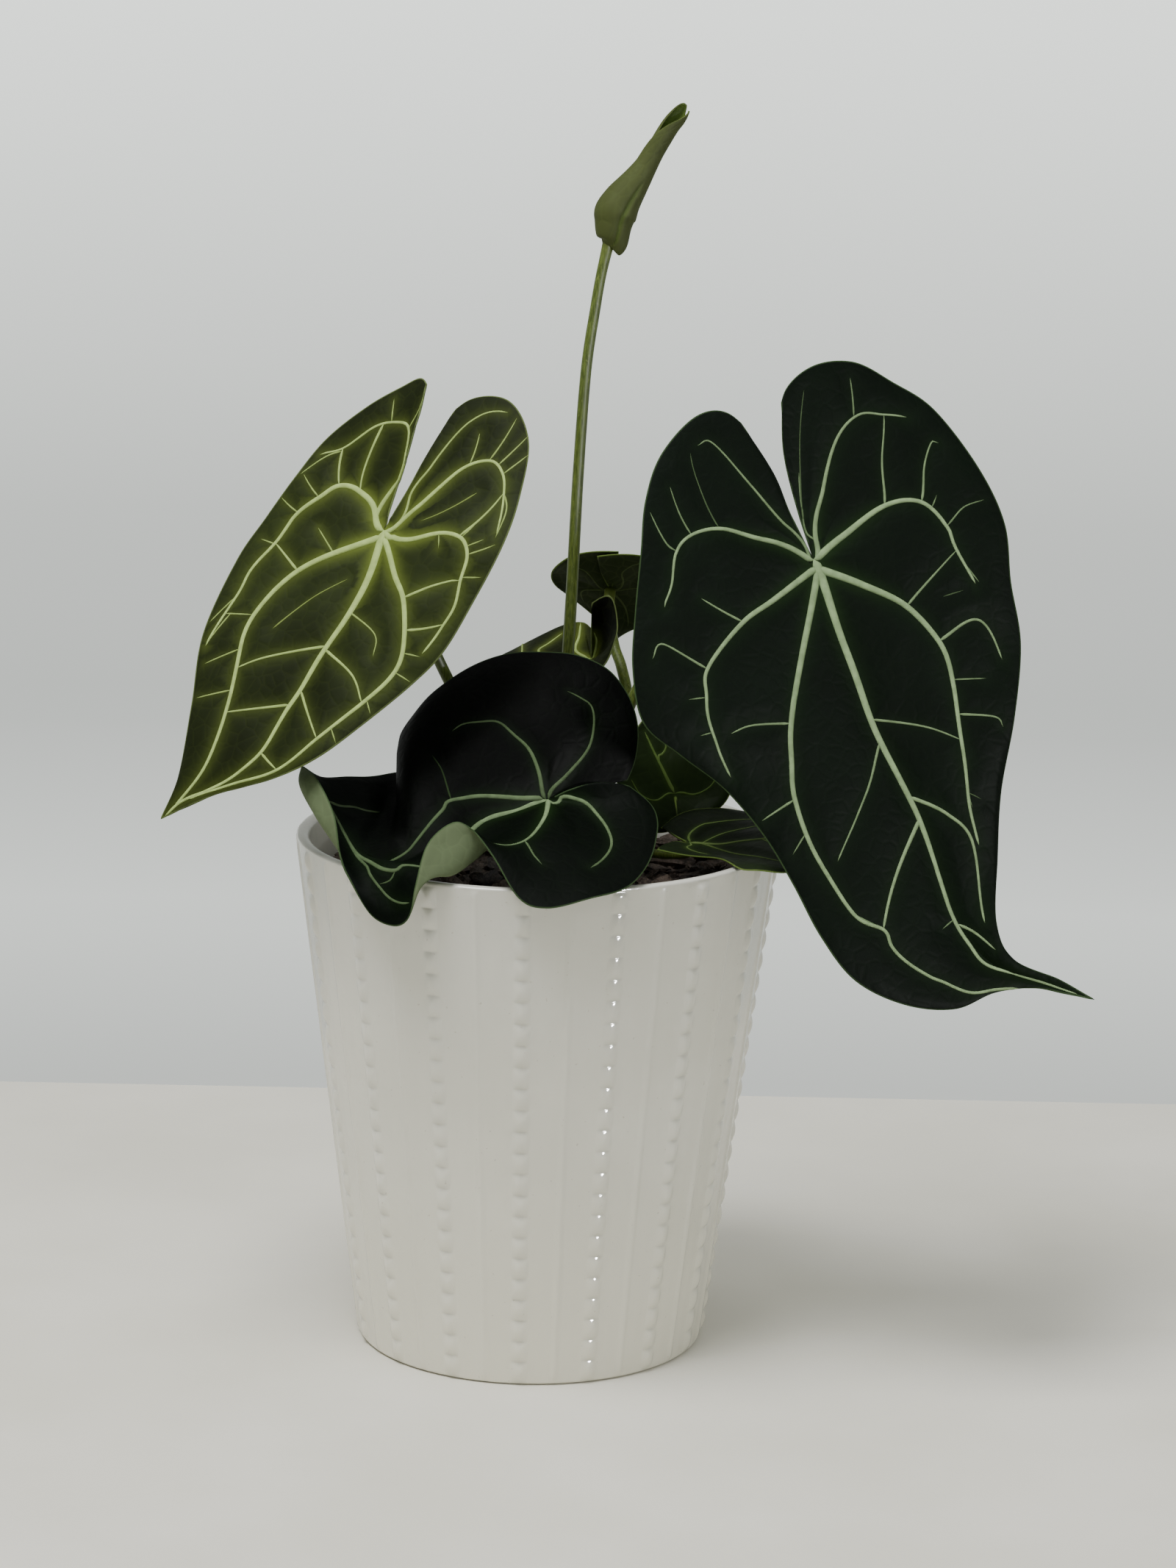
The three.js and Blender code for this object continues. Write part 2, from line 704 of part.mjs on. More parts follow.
// Back leaf: small, leaning away, so that its pale underside shows.
const BACK_LEAF = {
  heart: [19, 45, 206],
  heading: [85, 49, 0],
  midrib: [[19, 1, -5], [13, -1, -3], [7, -1, -1], [0, 0, 0]],
  left: {
    shoulder: 5,
    steps: [7, 7],
    margin: [
      [19, 1, -5], [15, 2, -4], [12, 4, -2], [10, 7, 0], [5, 12, 1], [0, 16, 1], [-5, 17, 1],
      [-11, 15, 0], [-15, 12, 0], [-17, 7, 0], [-16, -1, 2],
    ],
    sinus: [[0, 0, 0], [-5, 1, 1], [-10, 0, 2], [-16, -1, 2]],
  },
  right: {
    shoulder: 4,
    steps: [7, 7],
    margin: [
      [19, 1, -5], [16, -4, -3], [13, -9, -2], [9, -13, 0], [3, -16, 1], [-4, -17, 1],
      [-12, -16, 0], [-16, -13, 0], [-17, -7, 0], [-16, 1, -2],
    ],
    sinus: [[0, 0, 0], [-5, -1, -1], [-10, 0, -2], [-16, 1, -2]],
  },
  rings: 3,
};

// Leaf stalks: the points of the path from the foot in the mix up to where
// the stalk turns, over its last reach, to meet the heart of its blade.
const LEFT_STALK = {
  radii: [2, 1.5],
  reach: 6,
  path: [
    [-3, 4, 126], [-3, 4, 136], [-8, 3, 155], [-18, 3, 173], [-27, 3, 190], [-34, 1, 206],
    [-38.5, -3.5, 219],
  ],
};
const FRONT_STALK = {
  radii: [2, 1.4],
  reach: 5,
  path: [
    [6, -5, 126], [6, -5, 135], [6, -9, 144], [5, -17, 151],
  ],
};
const RIGHT_STALK = {
  radii: [2, 1.5],
  reach: 5,
  path: [
    [12.4, -2.4, 126], [12.4, -2.4, 135], [17, -4, 155], [23, -5, 178], [36, 0, 203],
    [55, 3, 217], [68, 1, 221.5],
  ],
};
const MIDDLE_STALK = {
  radii: [1.9, 1.3],
  reach: 4,
  path: [
    [2.9, 12.5, 126], [2.9, 12.5, 135], [4, 15, 150], [8, 21, 166], [13, 28, 178],
  ],
};
const LOW_STALK = {
  radii: [1.8, 1.2],
  reach: 2.5,
  path: [
    [14.9, 2.4, 126], [14.9, 2.4, 134], [18, 1, 139], [27, -4, 141], [36, -9.5, 141.5],
  ],
};
const UPRIGHT_STALK = {
  radii: [1.8, 1.2],
  reach: 2.5,
  path: [
    [14.2, 7.8, 126], [14.2, 7.8, 134], [18, 10, 143], [27, 14, 149], [34, 16, 151.5],
  ],
};
const BACK_STALK = {
  radii: [2, 1.6],
  reach: 4,
  path: [
    [10.5, 11.8, 126], [10.5, 11.8, 135], [16, 15, 152], [22, 21, 168], [24.2, 26.5, 178],
    [22.6, 31, 186], [20.5, 36, 191], [19.3, 39.5, 197],
  ],
};
const FURLED_STALK = {
  radii: [1.7, 1.2],
  path: [
    [6, 4, 138.4], [6.2, 3, 153], [6.5, 2, 171], [7.2, 3.5, 190], [8.2, 6.5, 215],
    [9.3, 9, 245], [10.9, 10, 273], [13.1, 11, 290], [14.6, 11.6, 299], [16.6, 12, 307.4],
  ],
};

// Furled young leaf: one blade rolled up round its own axis. Each section is
// [x, y, z, radius, turns].
const FURLED_SECTIONS = [
  [17.4, 12.2, 308.2, 2.8, 1.1],
  [17.8, 12.6, 311, 4.3, 1.15],
  [18.3, 13.2, 314.5, 5.2, 1.2],
  [19.8, 14, 318.3, 5.2, 1.2],
  [22.2, 15, 322.8, 4.5, 1.2],
  [25.4, 16.2, 327.6, 3.5, 1.1],
  [28.6, 17.3, 332.2, 3, 1],
  [31.6, 18.3, 336.6, 2.7, 0.95],
  [34.4, 19.2, 340.8, 2.3, 0.8],
  [36.3, 19.8, 343.8, 1.6, 0.6],
  [37.3, 20.1, 345.6, 1, 0.4],
];
const FURLED_ARC_STEPS = 20;
const FURLED_PITCH = 1.3;
const FURLED_START_ANGLE = 40;

function furledGeometry() {
  const centres = FURLED_SECTIONS.map(([x, y, z]) => [x, y, z]);
  const curve = curveThrough(centres);
  const last = FURLED_SECTIONS.length - 1;
  const points = [];
  const faces = [];
  FURLED_SECTIONS.forEach(([, , , radius, turns], i) => {
    const centre = curve.getPoint(i / last);
    const tangent = curve.getTangent(i / last);
    const side = new THREE.Vector3(0, 1, 0).cross(tangent).normalize();
    const front = tangent.clone().cross(side);
    for (let j = 0; j <= FURLED_ARC_STEPS; j += 1) {
      const wound = (turns * j) / FURLED_ARC_STEPS;
      const angle = THREE.MathUtils.degToRad(FURLED_START_ANGLE) + 2 * Math.PI * wound;
      const reach = radius - FURLED_PITCH * wound;
      const point = centre.clone().addScaledVector(side, reach * Math.cos(angle));
      points.push(point.addScaledVector(front, reach * Math.sin(angle)));
    }
  });
  const across = FURLED_ARC_STEPS + 1;
  for (let i = 0; i < last; i += 1) {
    for (let j = 0; j < FURLED_ARC_STEPS; j += 1) {
      const a = i * across + j;
      faces.push([a, a + 1, a + across + 1], [a, a + across + 1, a + across]);
    }
  }
  return thicken(points, faces, 0.6);
}

const LEAVES = [
  ['left', LEFT_LEAF, LEFT_STALK, oliveBlade],
  ['front', FRONT_LEAF, FRONT_STALK, darkBlade],
  ['right', RIGHT_LEAF, RIGHT_STALK, darkBlade],
  ['middle', MIDDLE_LEAF, MIDDLE_STALK, darkBlade],
  ['low', LOW_LEAF, LOW_STALK, brightBlade],
  ['upright', UPRIGHT_LEAF, UPRIGHT_STALK, oliveBlade],
  ['back', BACK_LEAF, BACK_STALK, brightBlade],
];

function piece(name, geometry, finish) {
  const mesh = new THREE.Mesh(geometry, finish.clone());
  mesh.name = name;
  return mesh;
}

const plant = new THREE.Group();
plant.add(piece('pot', potGeometry(), potGlaze));
plant.add(piece('potting_mix', mixGeometry(LEAVES.map((leaf) => leaf[2])), barkMix));
plant.add(piece('crown', crownGeometry(), crownBrown));
for (const [name, leaf, stalk, finish] of LEAVES) {
  plant.add(piece(`blade_${name}`, bladeGeometry(leaf), finish));
  plant.add(piece(`petiole_${name}`, stalkGeometry(stalk, leaf), stalkGreen));
}
plant.add(piece('blade_furled', furledGeometry(), oliveBlade));
plant.add(piece('petiole_furled', stalkGeometry(FURLED_STALK), stalkGreen));

export default plant;
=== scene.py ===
import math

import bpy
import numpy as np
from mathutils import Matrix


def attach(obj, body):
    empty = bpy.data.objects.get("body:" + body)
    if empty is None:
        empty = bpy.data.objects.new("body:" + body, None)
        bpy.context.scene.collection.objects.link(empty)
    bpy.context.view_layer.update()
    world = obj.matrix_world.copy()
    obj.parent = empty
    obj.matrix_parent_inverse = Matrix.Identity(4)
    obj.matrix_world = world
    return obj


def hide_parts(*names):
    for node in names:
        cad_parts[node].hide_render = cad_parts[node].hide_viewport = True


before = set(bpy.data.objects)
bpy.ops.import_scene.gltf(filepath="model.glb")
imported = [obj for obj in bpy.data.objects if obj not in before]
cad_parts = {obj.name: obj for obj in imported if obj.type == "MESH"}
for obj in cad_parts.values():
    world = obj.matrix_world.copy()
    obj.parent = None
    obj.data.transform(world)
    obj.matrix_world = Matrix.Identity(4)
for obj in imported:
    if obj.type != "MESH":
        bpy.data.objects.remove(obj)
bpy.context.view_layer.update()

MM = 0.001


# Curves
def curve_point(points, t):
    """Point at t (0 to 1) of a smooth curve through points: each span is a
    cubic whose end slopes are half the step between the neighbours."""
    points = np.asarray(points, float)
    last = len(points) - 1
    before = 2 * points[0] - points[1]
    after = 2 * points[-1] - points[-2]
    padded = np.vstack([before, points, after])
    place = np.clip(np.asarray(t, float) * last, 0, last)
    span = np.minimum(place.astype(int), last - 1)
    f = (place - span)[..., None]
    p0, p1, p2, p3 = (padded[span + i] for i in range(4))
    slope1, slope2 = (p2 - p0) / 2, (p3 - p1) / 2
    rise = 3 * f**2 - 2 * f**3
    return (
        (1 - rise) * p1
        + rise * p2
        + (f**3 - 2 * f**2 + f) * slope1
        + (f**3 - f**2) * slope2
    )


def arc_lengths(points):
    """Length along a line of points, from 0 at its first."""
    steps = np.linalg.norm(np.diff(points, axis=0), axis=1)
    return np.concatenate([[0], np.cumsum(steps)])


def unit(vectors):
    """Vectors scaled to length 1."""
    length = np.linalg.norm(vectors, axis=-1, keepdims=True)
    return vectors / np.maximum(length, 1e-9)


def polar(radius, angle, z):
    """Place at a radius and an angle round the pot; angle 0 is the front."""
    return np.stack(np.broadcast_arrays(radius * np.sin(angle), -radius * np.cos(angle), z), -1)


def step_up(value, low, high):
    """Smooth step from 0 below low to 1 above high."""
    f = np.clip((value - low) / (high - low), 0, 1)
    return f * f * (3 - 2 * f)


def ripple(points, size, seed, octaves=3):
    """Soft noise from -1 to 1: sums of sines whose waves, about size long,
    run in seeded directions, each octave half as long and half as high."""
    random = np.random.default_rng(seed)
    total = np.zeros(points.shape[:-1])
    for octave in range(octaves):
        waves = random.normal(size=(5, 3)) * 2**octave / size * 2
        shifts = random.uniform(0, 2 * math.pi, 5)
        total += np.sin(points @ waves.T + shifts).mean(-1) * 0.5**octave
    return total


# Meshes
def make_piece(name, points, faces, finish, values=None, replaces=()):
    """A smooth mesh from points in millimetres and triangles, with point
    values stored under their names, riding on the one body."""
    mesh = bpy.data.meshes.new(name)
    faces = np.asarray(faces, np.int32).reshape(-1, 3)
    mesh.vertices.add(len(points))
    mesh.vertices.foreach_set("co", (np.asarray(points) * MM).astype(np.float32).ravel())
    mesh.loops.add(faces.size)
    mesh.loops.foreach_set("vertex_index", faces.ravel())
    mesh.polygons.add(len(faces))
    mesh.polygons.foreach_set("loop_start", np.arange(len(faces), dtype=np.int32) * 3)
    mesh.polygons.foreach_set("use_smooth", np.ones(len(faces), bool))
    mesh.update(calc_edges=True)
    mesh.validate()
    for key, value in (values or {}).items():
        kind = "FLOAT_VECTOR" if value.ndim == 2 else "FLOAT"
        layer = mesh.attributes.new(key, kind, "POINT")
        field = "vector" if value.ndim == 2 else "value"
        layer.data.foreach_set(field, value.astype(np.float32).ravel())
    mesh.materials.append(finish)
    piece = bpy.data.objects.new(name, mesh)
    bpy.context.scene.collection.objects.link(piece)
    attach(piece, "root")
    if replaces:
        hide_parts(*replaces)
    return piece


def grid_faces(index):
    """Two triangles for each cell of a grid of point numbers; a cell whose
    corners have been welded loses the triangle that has no area."""
    a, b = index[:-1, :-1], index[:-1, 1:]
    c, d = index[1:, 1:], index[1:, :-1]
    faces = np.concatenate([
        np.stack([a, b, c], -1).reshape(-1, 3),
        np.stack([a, c, d], -1).reshape(-1, 3),
    ])
    apart = (faces[:, 0] != faces[:, 1]) & (faces[:, 1] != faces[:, 2]) & (faces[:, 2] != faces[:, 0])
    return faces[apart]


def point_normals(points, faces):
    """Unit normal at each point: the sum of its triangles' area normals."""
    corners = points[faces]
    area = np.cross(corners[:, 1] - corners[:, 0], corners[:, 2] - corners[:, 0])
    total = np.zeros_like(points)
    for corner in range(3):
        np.add.at(total, faces[:, corner], area)
    return unit(total)


def border_of(faces):
    """Edges that belong to one triangle only, in that triangle's direction."""
    edges = np.concatenate([faces[:, [0, 1]], faces[:, [1, 2]], faces[:, [2, 0]]])
    size = edges.max() + 1
    key = edges[:, 0].astype(np.int64) * size + edges[:, 1]
    back = edges[:, 1].astype(np.int64) * size + edges[:, 0]
    return edges[~np.isin(key, back)]


def thicken(points, normals, faces, thickness):
    """Closed body of a sheet: its points moved half the thickness both ways
    along their normals, and a band round the border."""
    half = (np.asarray(thickness) / 2).reshape(-1, 1)
    count = len(points)
    both = np.concatenate([points + normals * half, points - normals * half])
    rim = border_of(faces)
    a, b = rim[:, 0], rim[:, 1]
    band = np.concatenate([
        np.stack([a + count, b + count, b], -1),
        np.stack([a + count, b, a], -1),
    ])
    return both, np.concatenate([faces, faces[:, ::-1] + count, band])


def ring_body(rings):
    """Closed body through rings of equally many points (rings, points, 3),
    each ring counter-clockwise seen from the far end, with a pole at the
    middle of the first and of the last ring."""
    rows, count = rings.shape[:2]
    index = np.arange(rows * count).reshape(rows, count)
    wrapped = np.concatenate([index, index[:, :1]], 1)
    first, last = rows * count, rows * count + 1
    near, far = wrapped[0], wrapped[-1]
    pole = np.concatenate([
        np.stack([np.full(count, first), near[1:], near[:-1]], -1),
        np.stack([np.full(count, last), far[:-1], far[1:]], -1),
    ])
    points = np.concatenate([rings.reshape(-1, 3), [rings[0].mean(0)], [rings[-1].mean(0)]])
    return points, np.concatenate([grid_faces(wrapped), pole])


def path_frames(path):
    """Unit tangents of a line of points, and two unit directions square to
    each: one near the direction in which the whole path bends least."""
    tangent = unit(np.gradient(path, axis=0))
    flat = np.linalg.svd(path - path.mean(0))[2][2]
    flat = flat * (1 if flat[np.abs(flat).argmax()] > 0 else -1)
    side = unit(flat - tangent * (tangent @ flat)[:, None])
    return tangent, side, np.cross(tangent, side)


# Finishes
class Socket:
    """An output of a material's nodes. Adding and multiplying make Math nodes."""

    def __init__(self, finish, socket):
        self.finish, self.socket = finish, socket

    def maths(self, operation, *values):
        return self.finish.node("Math", {"operation": operation}, dict(enumerate(values)))

    def __add__(self, other):
        return self.maths("ADD", self, other)

    def __radd__(self, other):
        return self.maths("ADD", other, self)

    def __mul__(self, other):
        return self.maths("MULTIPLY", self, other)

    def __rmul__(self, other):
        return self.maths("MULTIPLY", other, self)


class Finish:
    """A material being made. node() adds any node to it."""

    def __init__(self, name, **constants):
        self.material = bpy.data.materials.new(name)
        self.material.use_nodes = True
        self.tree = self.material.node_tree
        self.shader = self.tree.nodes["Principled BSDF"]
        for key, value in constants.items():
            self.shader.inputs[key.replace("_", " ")].default_value = value

    def feed(self, socket, value):
        if isinstance(value, Socket):
            self.tree.links.new(value.socket, socket)
        else:
            socket.default_value = value

    def node(self, kind, settings=None, inputs=None, output=0):
        made = self.tree.nodes.new("ShaderNode" + kind)
        for key, value in (settings or {}).items():
            setattr(made, key, value)
        for key, value in (inputs or {}).items():
            self.feed(made.inputs[key], value)
        return Socket(self, made.outputs[output])

    def value(self, name):
        return self.node("Attribute", {"attribute_name": name}, output=2)

    def place(self, scale=(1, 1, 1)):
        """Object coordinates, scaled."""
        inputs = {"Vector": self.node("TexCoord", output=3), "Scale": scale}
        return self.node("Mapping", None, inputs)

    def noise(self, place, scale, detail, roughness=0.5):
        inputs = {"Vector": place, "Scale": scale, "Detail": detail, "Roughness": roughness}
        return self.node("TexNoise", None, inputs)

    def rise(self, value, low, high, start=0.0, end=1.0):
        """Smooth step of value from start at low to end at high."""
        inputs = {"Value": value, "From Min": low, "From Max": high, "To Min": start, "To Max": end}
        return self.node("MapRange", {"interpolation_type": "SMOOTHSTEP"}, inputs)

    def mix(self, factor, a, b):
        return self.node("Mix", {"data_type": "RGBA"}, {0: factor, 6: a, 7: b}, output=2)

    def bump(self, height, distance, strength=1.0):
        inputs = {"Height": height, "Distance": distance, "Strength": strength}
        return self.node("Bump", None, inputs)

    def set(self, **links):
        for key, value in links.items():
            self.feed(self.shader.inputs[key.replace("_", " ")], value)
        return self.material


def rgb(red, green, blue):
    """A colour given as it looks on a screen, 0 to 255, as shaders need it."""
    screen = np.array([red, green, blue]) / 255
    linear = np.where(screen < 0.04045, screen / 12.92, ((screen + 0.055) / 1.055) ** 2.4)
    return (*linear.tolist(), 1)


def glaze_finish():
    """White stoneware glaze, with faint waves and a few pinholes. Painted shade
    greys it in the notches between beads, and a fixed grey is laid on the foot.
    It is painted warmer and lighter towards the foot and greyer towards the rim,
    which stands in for the photograph's shading."""
    glaze = Finish("white_glaze", IOR=1.55, Specular_IOR_Level=0.8)
    place = glaze.place()
    notch_shade_and_foot_grey = glaze.value("notch_shade_and_foot_grey")
    cloud = glaze.noise(place, 22, 4)
    base = glaze.mix(glaze.rise(cloud, 0.3, 0.7), rgb(224, 222, 211), rgb(216, 214, 202))
    height = glaze.node("SeparateXYZ", None, {0: place}, output=2)
    # painted light: warmer and lighter towards the foot
    base = glaze.mix(glaze.rise(height, 0.0, 0.09, 0.6, 0.0), base, rgb(230, 226, 208))
    # painted shade: greyer towards the rim
    base = glaze.mix(glaze.rise(height, 0.08, 0.145, 0.0, 0.35), base, rgb(172, 172, 166))
    # painted shade in the notches between beads, and a fixed grey on the foot and sole
    base = glaze.mix(notch_shade_and_foot_grey * 0.55, base, rgb(180, 179, 167))
    specks = glaze.rise(glaze.noise(place, 900, 1), 0.74, 0.8)
    base = glaze.mix(specks * 0.35, base, rgb(150, 140, 120))
    rough = 0.09 + 0.1 * glaze.noise(place, 60, 3) + 0.1 * glaze.value("bare")
    waves = glaze.noise(place, 130, 2) + 0.25 * glaze.noise(place, 420, 2)
    return glaze.set(Base_Color=base, Roughness=rough, Normal=glaze.bump(waves, 0.00035, 0.5))


def blade_finish(name, tones, rough=0.42, gloss=0.15):
    """A leaf: lamina mottled between two greens, a bright halo by the veins,
    pale veins and margin, a paler underside, and fine quilting between the
    smallest veins. shade is painted darkness, which stands in for shadow."""
    leaf = Finish(name, IOR=1.45, Specular_IOR_Level=gloss)
    shade = leaf.value("shade")
    place = leaf.place()
    lamina, halo, vein, under, edge = (rgb(*tone) for tone in tones)
    cloud = leaf.rise(leaf.noise(place, 60, 3), 0.3, 0.7)
    dim = leaf.mix(0.28, lamina, (0, 0, 0, 1))
    base = leaf.mix(cloud, lamina, dim)
    # painted shade: the upper face is darkened towards near black by shade
    base = leaf.mix(shade, base, (0.0004, 0.0007, 0.0004, 1))
    base = leaf.mix(leaf.value("halo"), base, halo)
    below = leaf.value("below")
    net = leaf.node("TexVoronoi", {"feature": "DISTANCE_TO_EDGE"},
                    {"Vector": leaf.node("Attribute", {"attribute_name": "leaf_place"}, output=1),
                     "Scale": 260.0})
    fine = leaf.rise(net, 0.0, 0.1, 1.0, 0.0)
    under_tone = leaf.mix(fine * 0.1, under, leaf.mix(0.5, under, vein))
    under_tone = leaf.mix(cloud * 0.3, under_tone, leaf.mix(0.5, under, (0, 0, 0, 1)))
    base = leaf.mix(fine * 0.035, base, halo)
    base = leaf.mix(below, base, under_tone)
    rim = leaf.rise(leaf.value("margin"), 0.15, 0.5, 0.85, 0.0)
    base = leaf.mix(rim, base, edge)
    streak = leaf.noise(place, 400, 2)
    tone = leaf.mix(leaf.rise(streak, 0.3, 0.7) * 0.25, vein, halo)
    tone = leaf.mix(below * 0.7, tone, under_tone)
    base = leaf.mix(leaf.value("vein"), base, tone)
    cells = leaf.noise(place, 1400, 2)
    height = leaf.rise(net, 0.0, 0.22) * 0.6 + cells * 0.25
    rough_now = rough + 0.12 * leaf.noise(place, 300, 2) + 0.12 * below
    return leaf.set(Base_Color=base, Roughness=rough_now, Normal=leaf.bump(height, 0.00012, 0.6))


def stalk_finish():
    """Leaf stalk: olive green with fine lengthwise fibres and pale flecks,
    browner at the foot and yellower at the joint under the blade."""
    stalk = Finish("stalk_green", IOR=1.45, Specular_IOR_Level=0.3)
    place = stalk.place((1, 1, 0.08))
    fibres = stalk.noise(place, 2600, 3)
    base = stalk.mix(stalk.rise(fibres, 0.3, 0.7), rgb(58, 70, 22), rgb(88, 102, 40))
    flecks = stalk.rise(stalk.noise(stalk.place((1, 1, 0.5)), 1800, 1), 0.68, 0.75)
    base = stalk.mix(flecks * 0.4, base, rgb(120, 130, 72))
    base = stalk.mix(stalk.value("joint"), base, rgb(98, 110, 48))
    base = stalk.mix(stalk.value("foot"), base, rgb(96, 78, 50))
    rough = 0.38 + 0.2 * fibres
    return stalk.set(Base_Color=base, Roughness=rough, Normal=stalk.bump(fibres, 0.0001, 0.5))


def bark_finish():
    """Bark chips: each its own brown, with grain along it, paler streaks that
    follow the grain, and dark pores."""
    bark = Finish("bark", IOR=1.4, Specular_IOR_Level=0.25)
    place = bark.place()
    shade = bark.value("shade")
    grain = bark.noise(bark.place((1, 0.25, 1)), 900, 4, 0.65)
    dark = bark.mix(shade, rgb(22, 18, 16), rgb(78, 68, 60))
    base = bark.mix(bark.rise(grain, 0.35, 0.7), dark, bark.mix(0.35, dark, rgb(132, 116, 104)))
    pores = bark.rise(bark.noise(place, 1500, 2), 0.3, 0.4, 1.0, 0.0)
    base = bark.mix(pores * 0.6, base, rgb(24, 18, 15))
    height = grain + 0.4 * bark.noise(place, 2500, 2)
    return bark.set(Base_Color=base, Roughness=0.75 + 0.2 * grain, Normal=bark.bump(height, 0.0005, 0.8))


def crown_finish():
    """Crown and papery sheaths: straw brown fibres over a greener core."""
    crown = Finish("crown_fibre", IOR=1.4)
    fibres = crown.noise(crown.place((1, 1, 0.1)), 1800, 4, 0.6)
    base = crown.mix(crown.rise(fibres, 0.3, 0.7), rgb(78, 60, 38), rgb(142, 118, 76))
    base = crown.mix(crown.value("green"), base, rgb(98, 110, 58))
    return crown.set(Base_Color=base, Roughness=0.6 + 0.3 * fibres, Normal=crown.bump(fibres, 0.0003, 0.8))


# Pot
WALL_START, WALL_END = 0.8, 144
WALL_RADIUS_START, WALL_RADIUS_END = 48.7, 67
WALL_THICKNESS = 3.5
FLOOR_THICKNESS = 6
COLUMNS = 16
FIRST_COLUMN_ANGLE = math.radians(-2.5)
BEADS = 23
BEAD_PITCH = (WALL_END - WALL_START) / BEADS
BEAD_HALF_WIDTH = 2.5
BEAD_HEIGHT = 1.0
RIDGE_HALF_WIDTH = 1.6
RIDGE_HEIGHT = 0.5


def wall_radius(z):
    """The wall's straight taper."""
    share = (z - WALL_START) / (WALL_END - WALL_START)
    return WALL_RADIUS_START + share * (WALL_RADIUS_END - WALL_RADIUS_START)


def sector_offsets(z):
    """For each height, the sector's sample places in millimetres from its
    column: close together on the bead and the ridge, wide on the flats."""
    bead = BEAD_HALF_WIDTH * np.array([-1, -0.93, -0.78, -0.55, -0.28, 0, 0.28, 0.55, 0.78, 0.93, 1])
    ridge = RIDGE_HALF_WIDTH * np.array([-1, -0.68, -0.34, 0, 0.34, 0.68, 1])
    width = 2 * math.pi * wall_radius(z)[:, None] / COLUMNS
    middle = width / 2
    flat = np.array([1, 2]) / 3
    left = BEAD_HALF_WIDTH + (middle - RIDGE_HALF_WIDTH - BEAD_HALF_WIDTH) * flat
    right = middle + RIDGE_HALF_WIDTH + (middle - RIDGE_HALF_WIDTH - BEAD_HALF_WIDTH) * flat
    rows = len(z)
    return np.concatenate([
        np.tile(bead, (rows, 1)), left, middle + ridge[None, :], right,
    ], 1), width


def along_bead(z):
    """Place along the bead at a height: -1 at its lower end, 1 at its upper."""
    return ((z - WALL_START) / BEAD_PITCH) % 1 * 2 - 1


def wall_relief(across, width, z):
    """Height of the relief. A bead is a round pillow, (1 - across squared)
    times (1 - along squared) with soft feet, on a low web that joins it to
    the next; the ridge half a sector away is a low cosine swell."""
    along = along_bead(z)
    hump_across = np.clip(1 - (across / BEAD_HALF_WIDTH) ** 2, 0, 1) ** 1.3
    hump_along = np.clip(1 - along**2, 0, 1)[:, None] ** 0.9
    bead = BEAD_HEIGHT * hump_across * (0.18 + 0.82 * hump_along)
    from_ridge = np.clip(np.abs(across - width / 2) / RIDGE_HALF_WIDTH, 0, 1)
    ridge = RIDGE_HEIGHT * np.cos(from_ridge * math.pi / 2) ** 2
    fade = step_up(z, WALL_START - 0.1, WALL_START + 1.5) * step_up(-z, -WALL_END - 0.1, -WALL_END + 1.2)
    return bead * fade[:, None], ridge * fade[:, None]


def hump_shadow(across, z):
    """How deep a point lies in the notch between two beads of a column, which sets the painted shade there.
    """
    along = along_bead(z)
    near = np.clip(1 - np.abs(across) / (BEAD_HALF_WIDTH * 0.9), 0, 1)
    return near**0.5 * (np.abs(along) ** 3.5)[:, None]


def make_pot():
    """One closed surface: sole, foot, wall with its relief, rounded lip,
    inner wall and floor, all as rings of the same points."""
    rows = np.array([0, 0.05, 0.16, 0.32, 0.5, 0.68, 0.84, 0.95])
    z = WALL_START + BEAD_PITCH * (np.arange(BEADS)[:, None] + rows[None, :]).ravel()
    z = np.append(z, WALL_END)
    across, width = sector_offsets(z)
    bead, ridge = wall_relief(across, width, z)
    radius = wall_radius(z)[:, None]
    sectors = FIRST_COLUMN_ANGLE + np.arange(COLUMNS) * 2 * math.pi / COLUMNS
    angle = (sectors[None, :, None] + (across / radius)[:, None, :]).reshape(len(z), -1)
    lift = np.tile(bead + ridge, (1, COLUMNS))
    wall = polar(radius + lift, angle, z[:, None])
    # painted shade in the notch between two beads of a column
    between = np.clip(0.75 * hump_shadow(across, z), 0, 1)
    wall_notch_shade = np.tile(between, (1, COLUMNS))
    below = [(0.02, 0.0), (40, 0.0), (46.2, 0.0), (47.5, 0.05), (48.2, 0.3)]
    inner_top, inner_low = wall_radius(WALL_END) - WALL_THICKNESS, wall_radius(10) - WALL_THICKNESS
    above = [
        (67.1, 144.45), (66.7, 144.8), (66.0, 145), (65.2, 144.98), (64.4, 144.7),
        (63.8, 144.2), (inner_top, 143.4), ((inner_top + inner_low) / 2, 77), (inner_low, 10),
        (inner_low - 3, FLOOR_THICKNESS), (20, FLOOR_THICKNESS), (0.02, FLOOR_THICKNESS),
    ]
    start = [polar(r, angle[0], np.full(angle.shape[1], h)) for r, h in below]
    end = [polar(r, angle[-1], np.full(angle.shape[1], h)) for r, h in above]
    rings = np.concatenate([np.array(start), wall, np.array(end)])
    count = angle.shape[1]
    # painted shade in the bead notches on the wall; a fixed grey on the foot and sole
    notch_shade_and_foot_grey = np.concatenate([
        np.full((len(start), count), 0.3), wall_notch_shade, np.zeros((len(end), count)),
    ]).ravel()
    bare = np.concatenate([
        np.full((len(start), count), 1.0), np.zeros((len(z) + len(end), count)),
    ]).ravel()
    points, faces = ring_body(rings)
    values = {
        "notch_shade_and_foot_grey": np.append(notch_shade_and_foot_grey, [0.3, 0.3]),
        "bare": np.append(bare, [1, 0]),
    }
    make_piece("pot_glazed", points, faces, glaze_finish(), values, ["pot"])


# Potting mix and crown
MIX_LEVEL = 131
CROWN = np.array([6.0, 4.0])
CROWN_SIDES = 48
CHIPS = 520
CHIP_REACH = 61.5
BLOCK_ROUNDNESS = 0.72


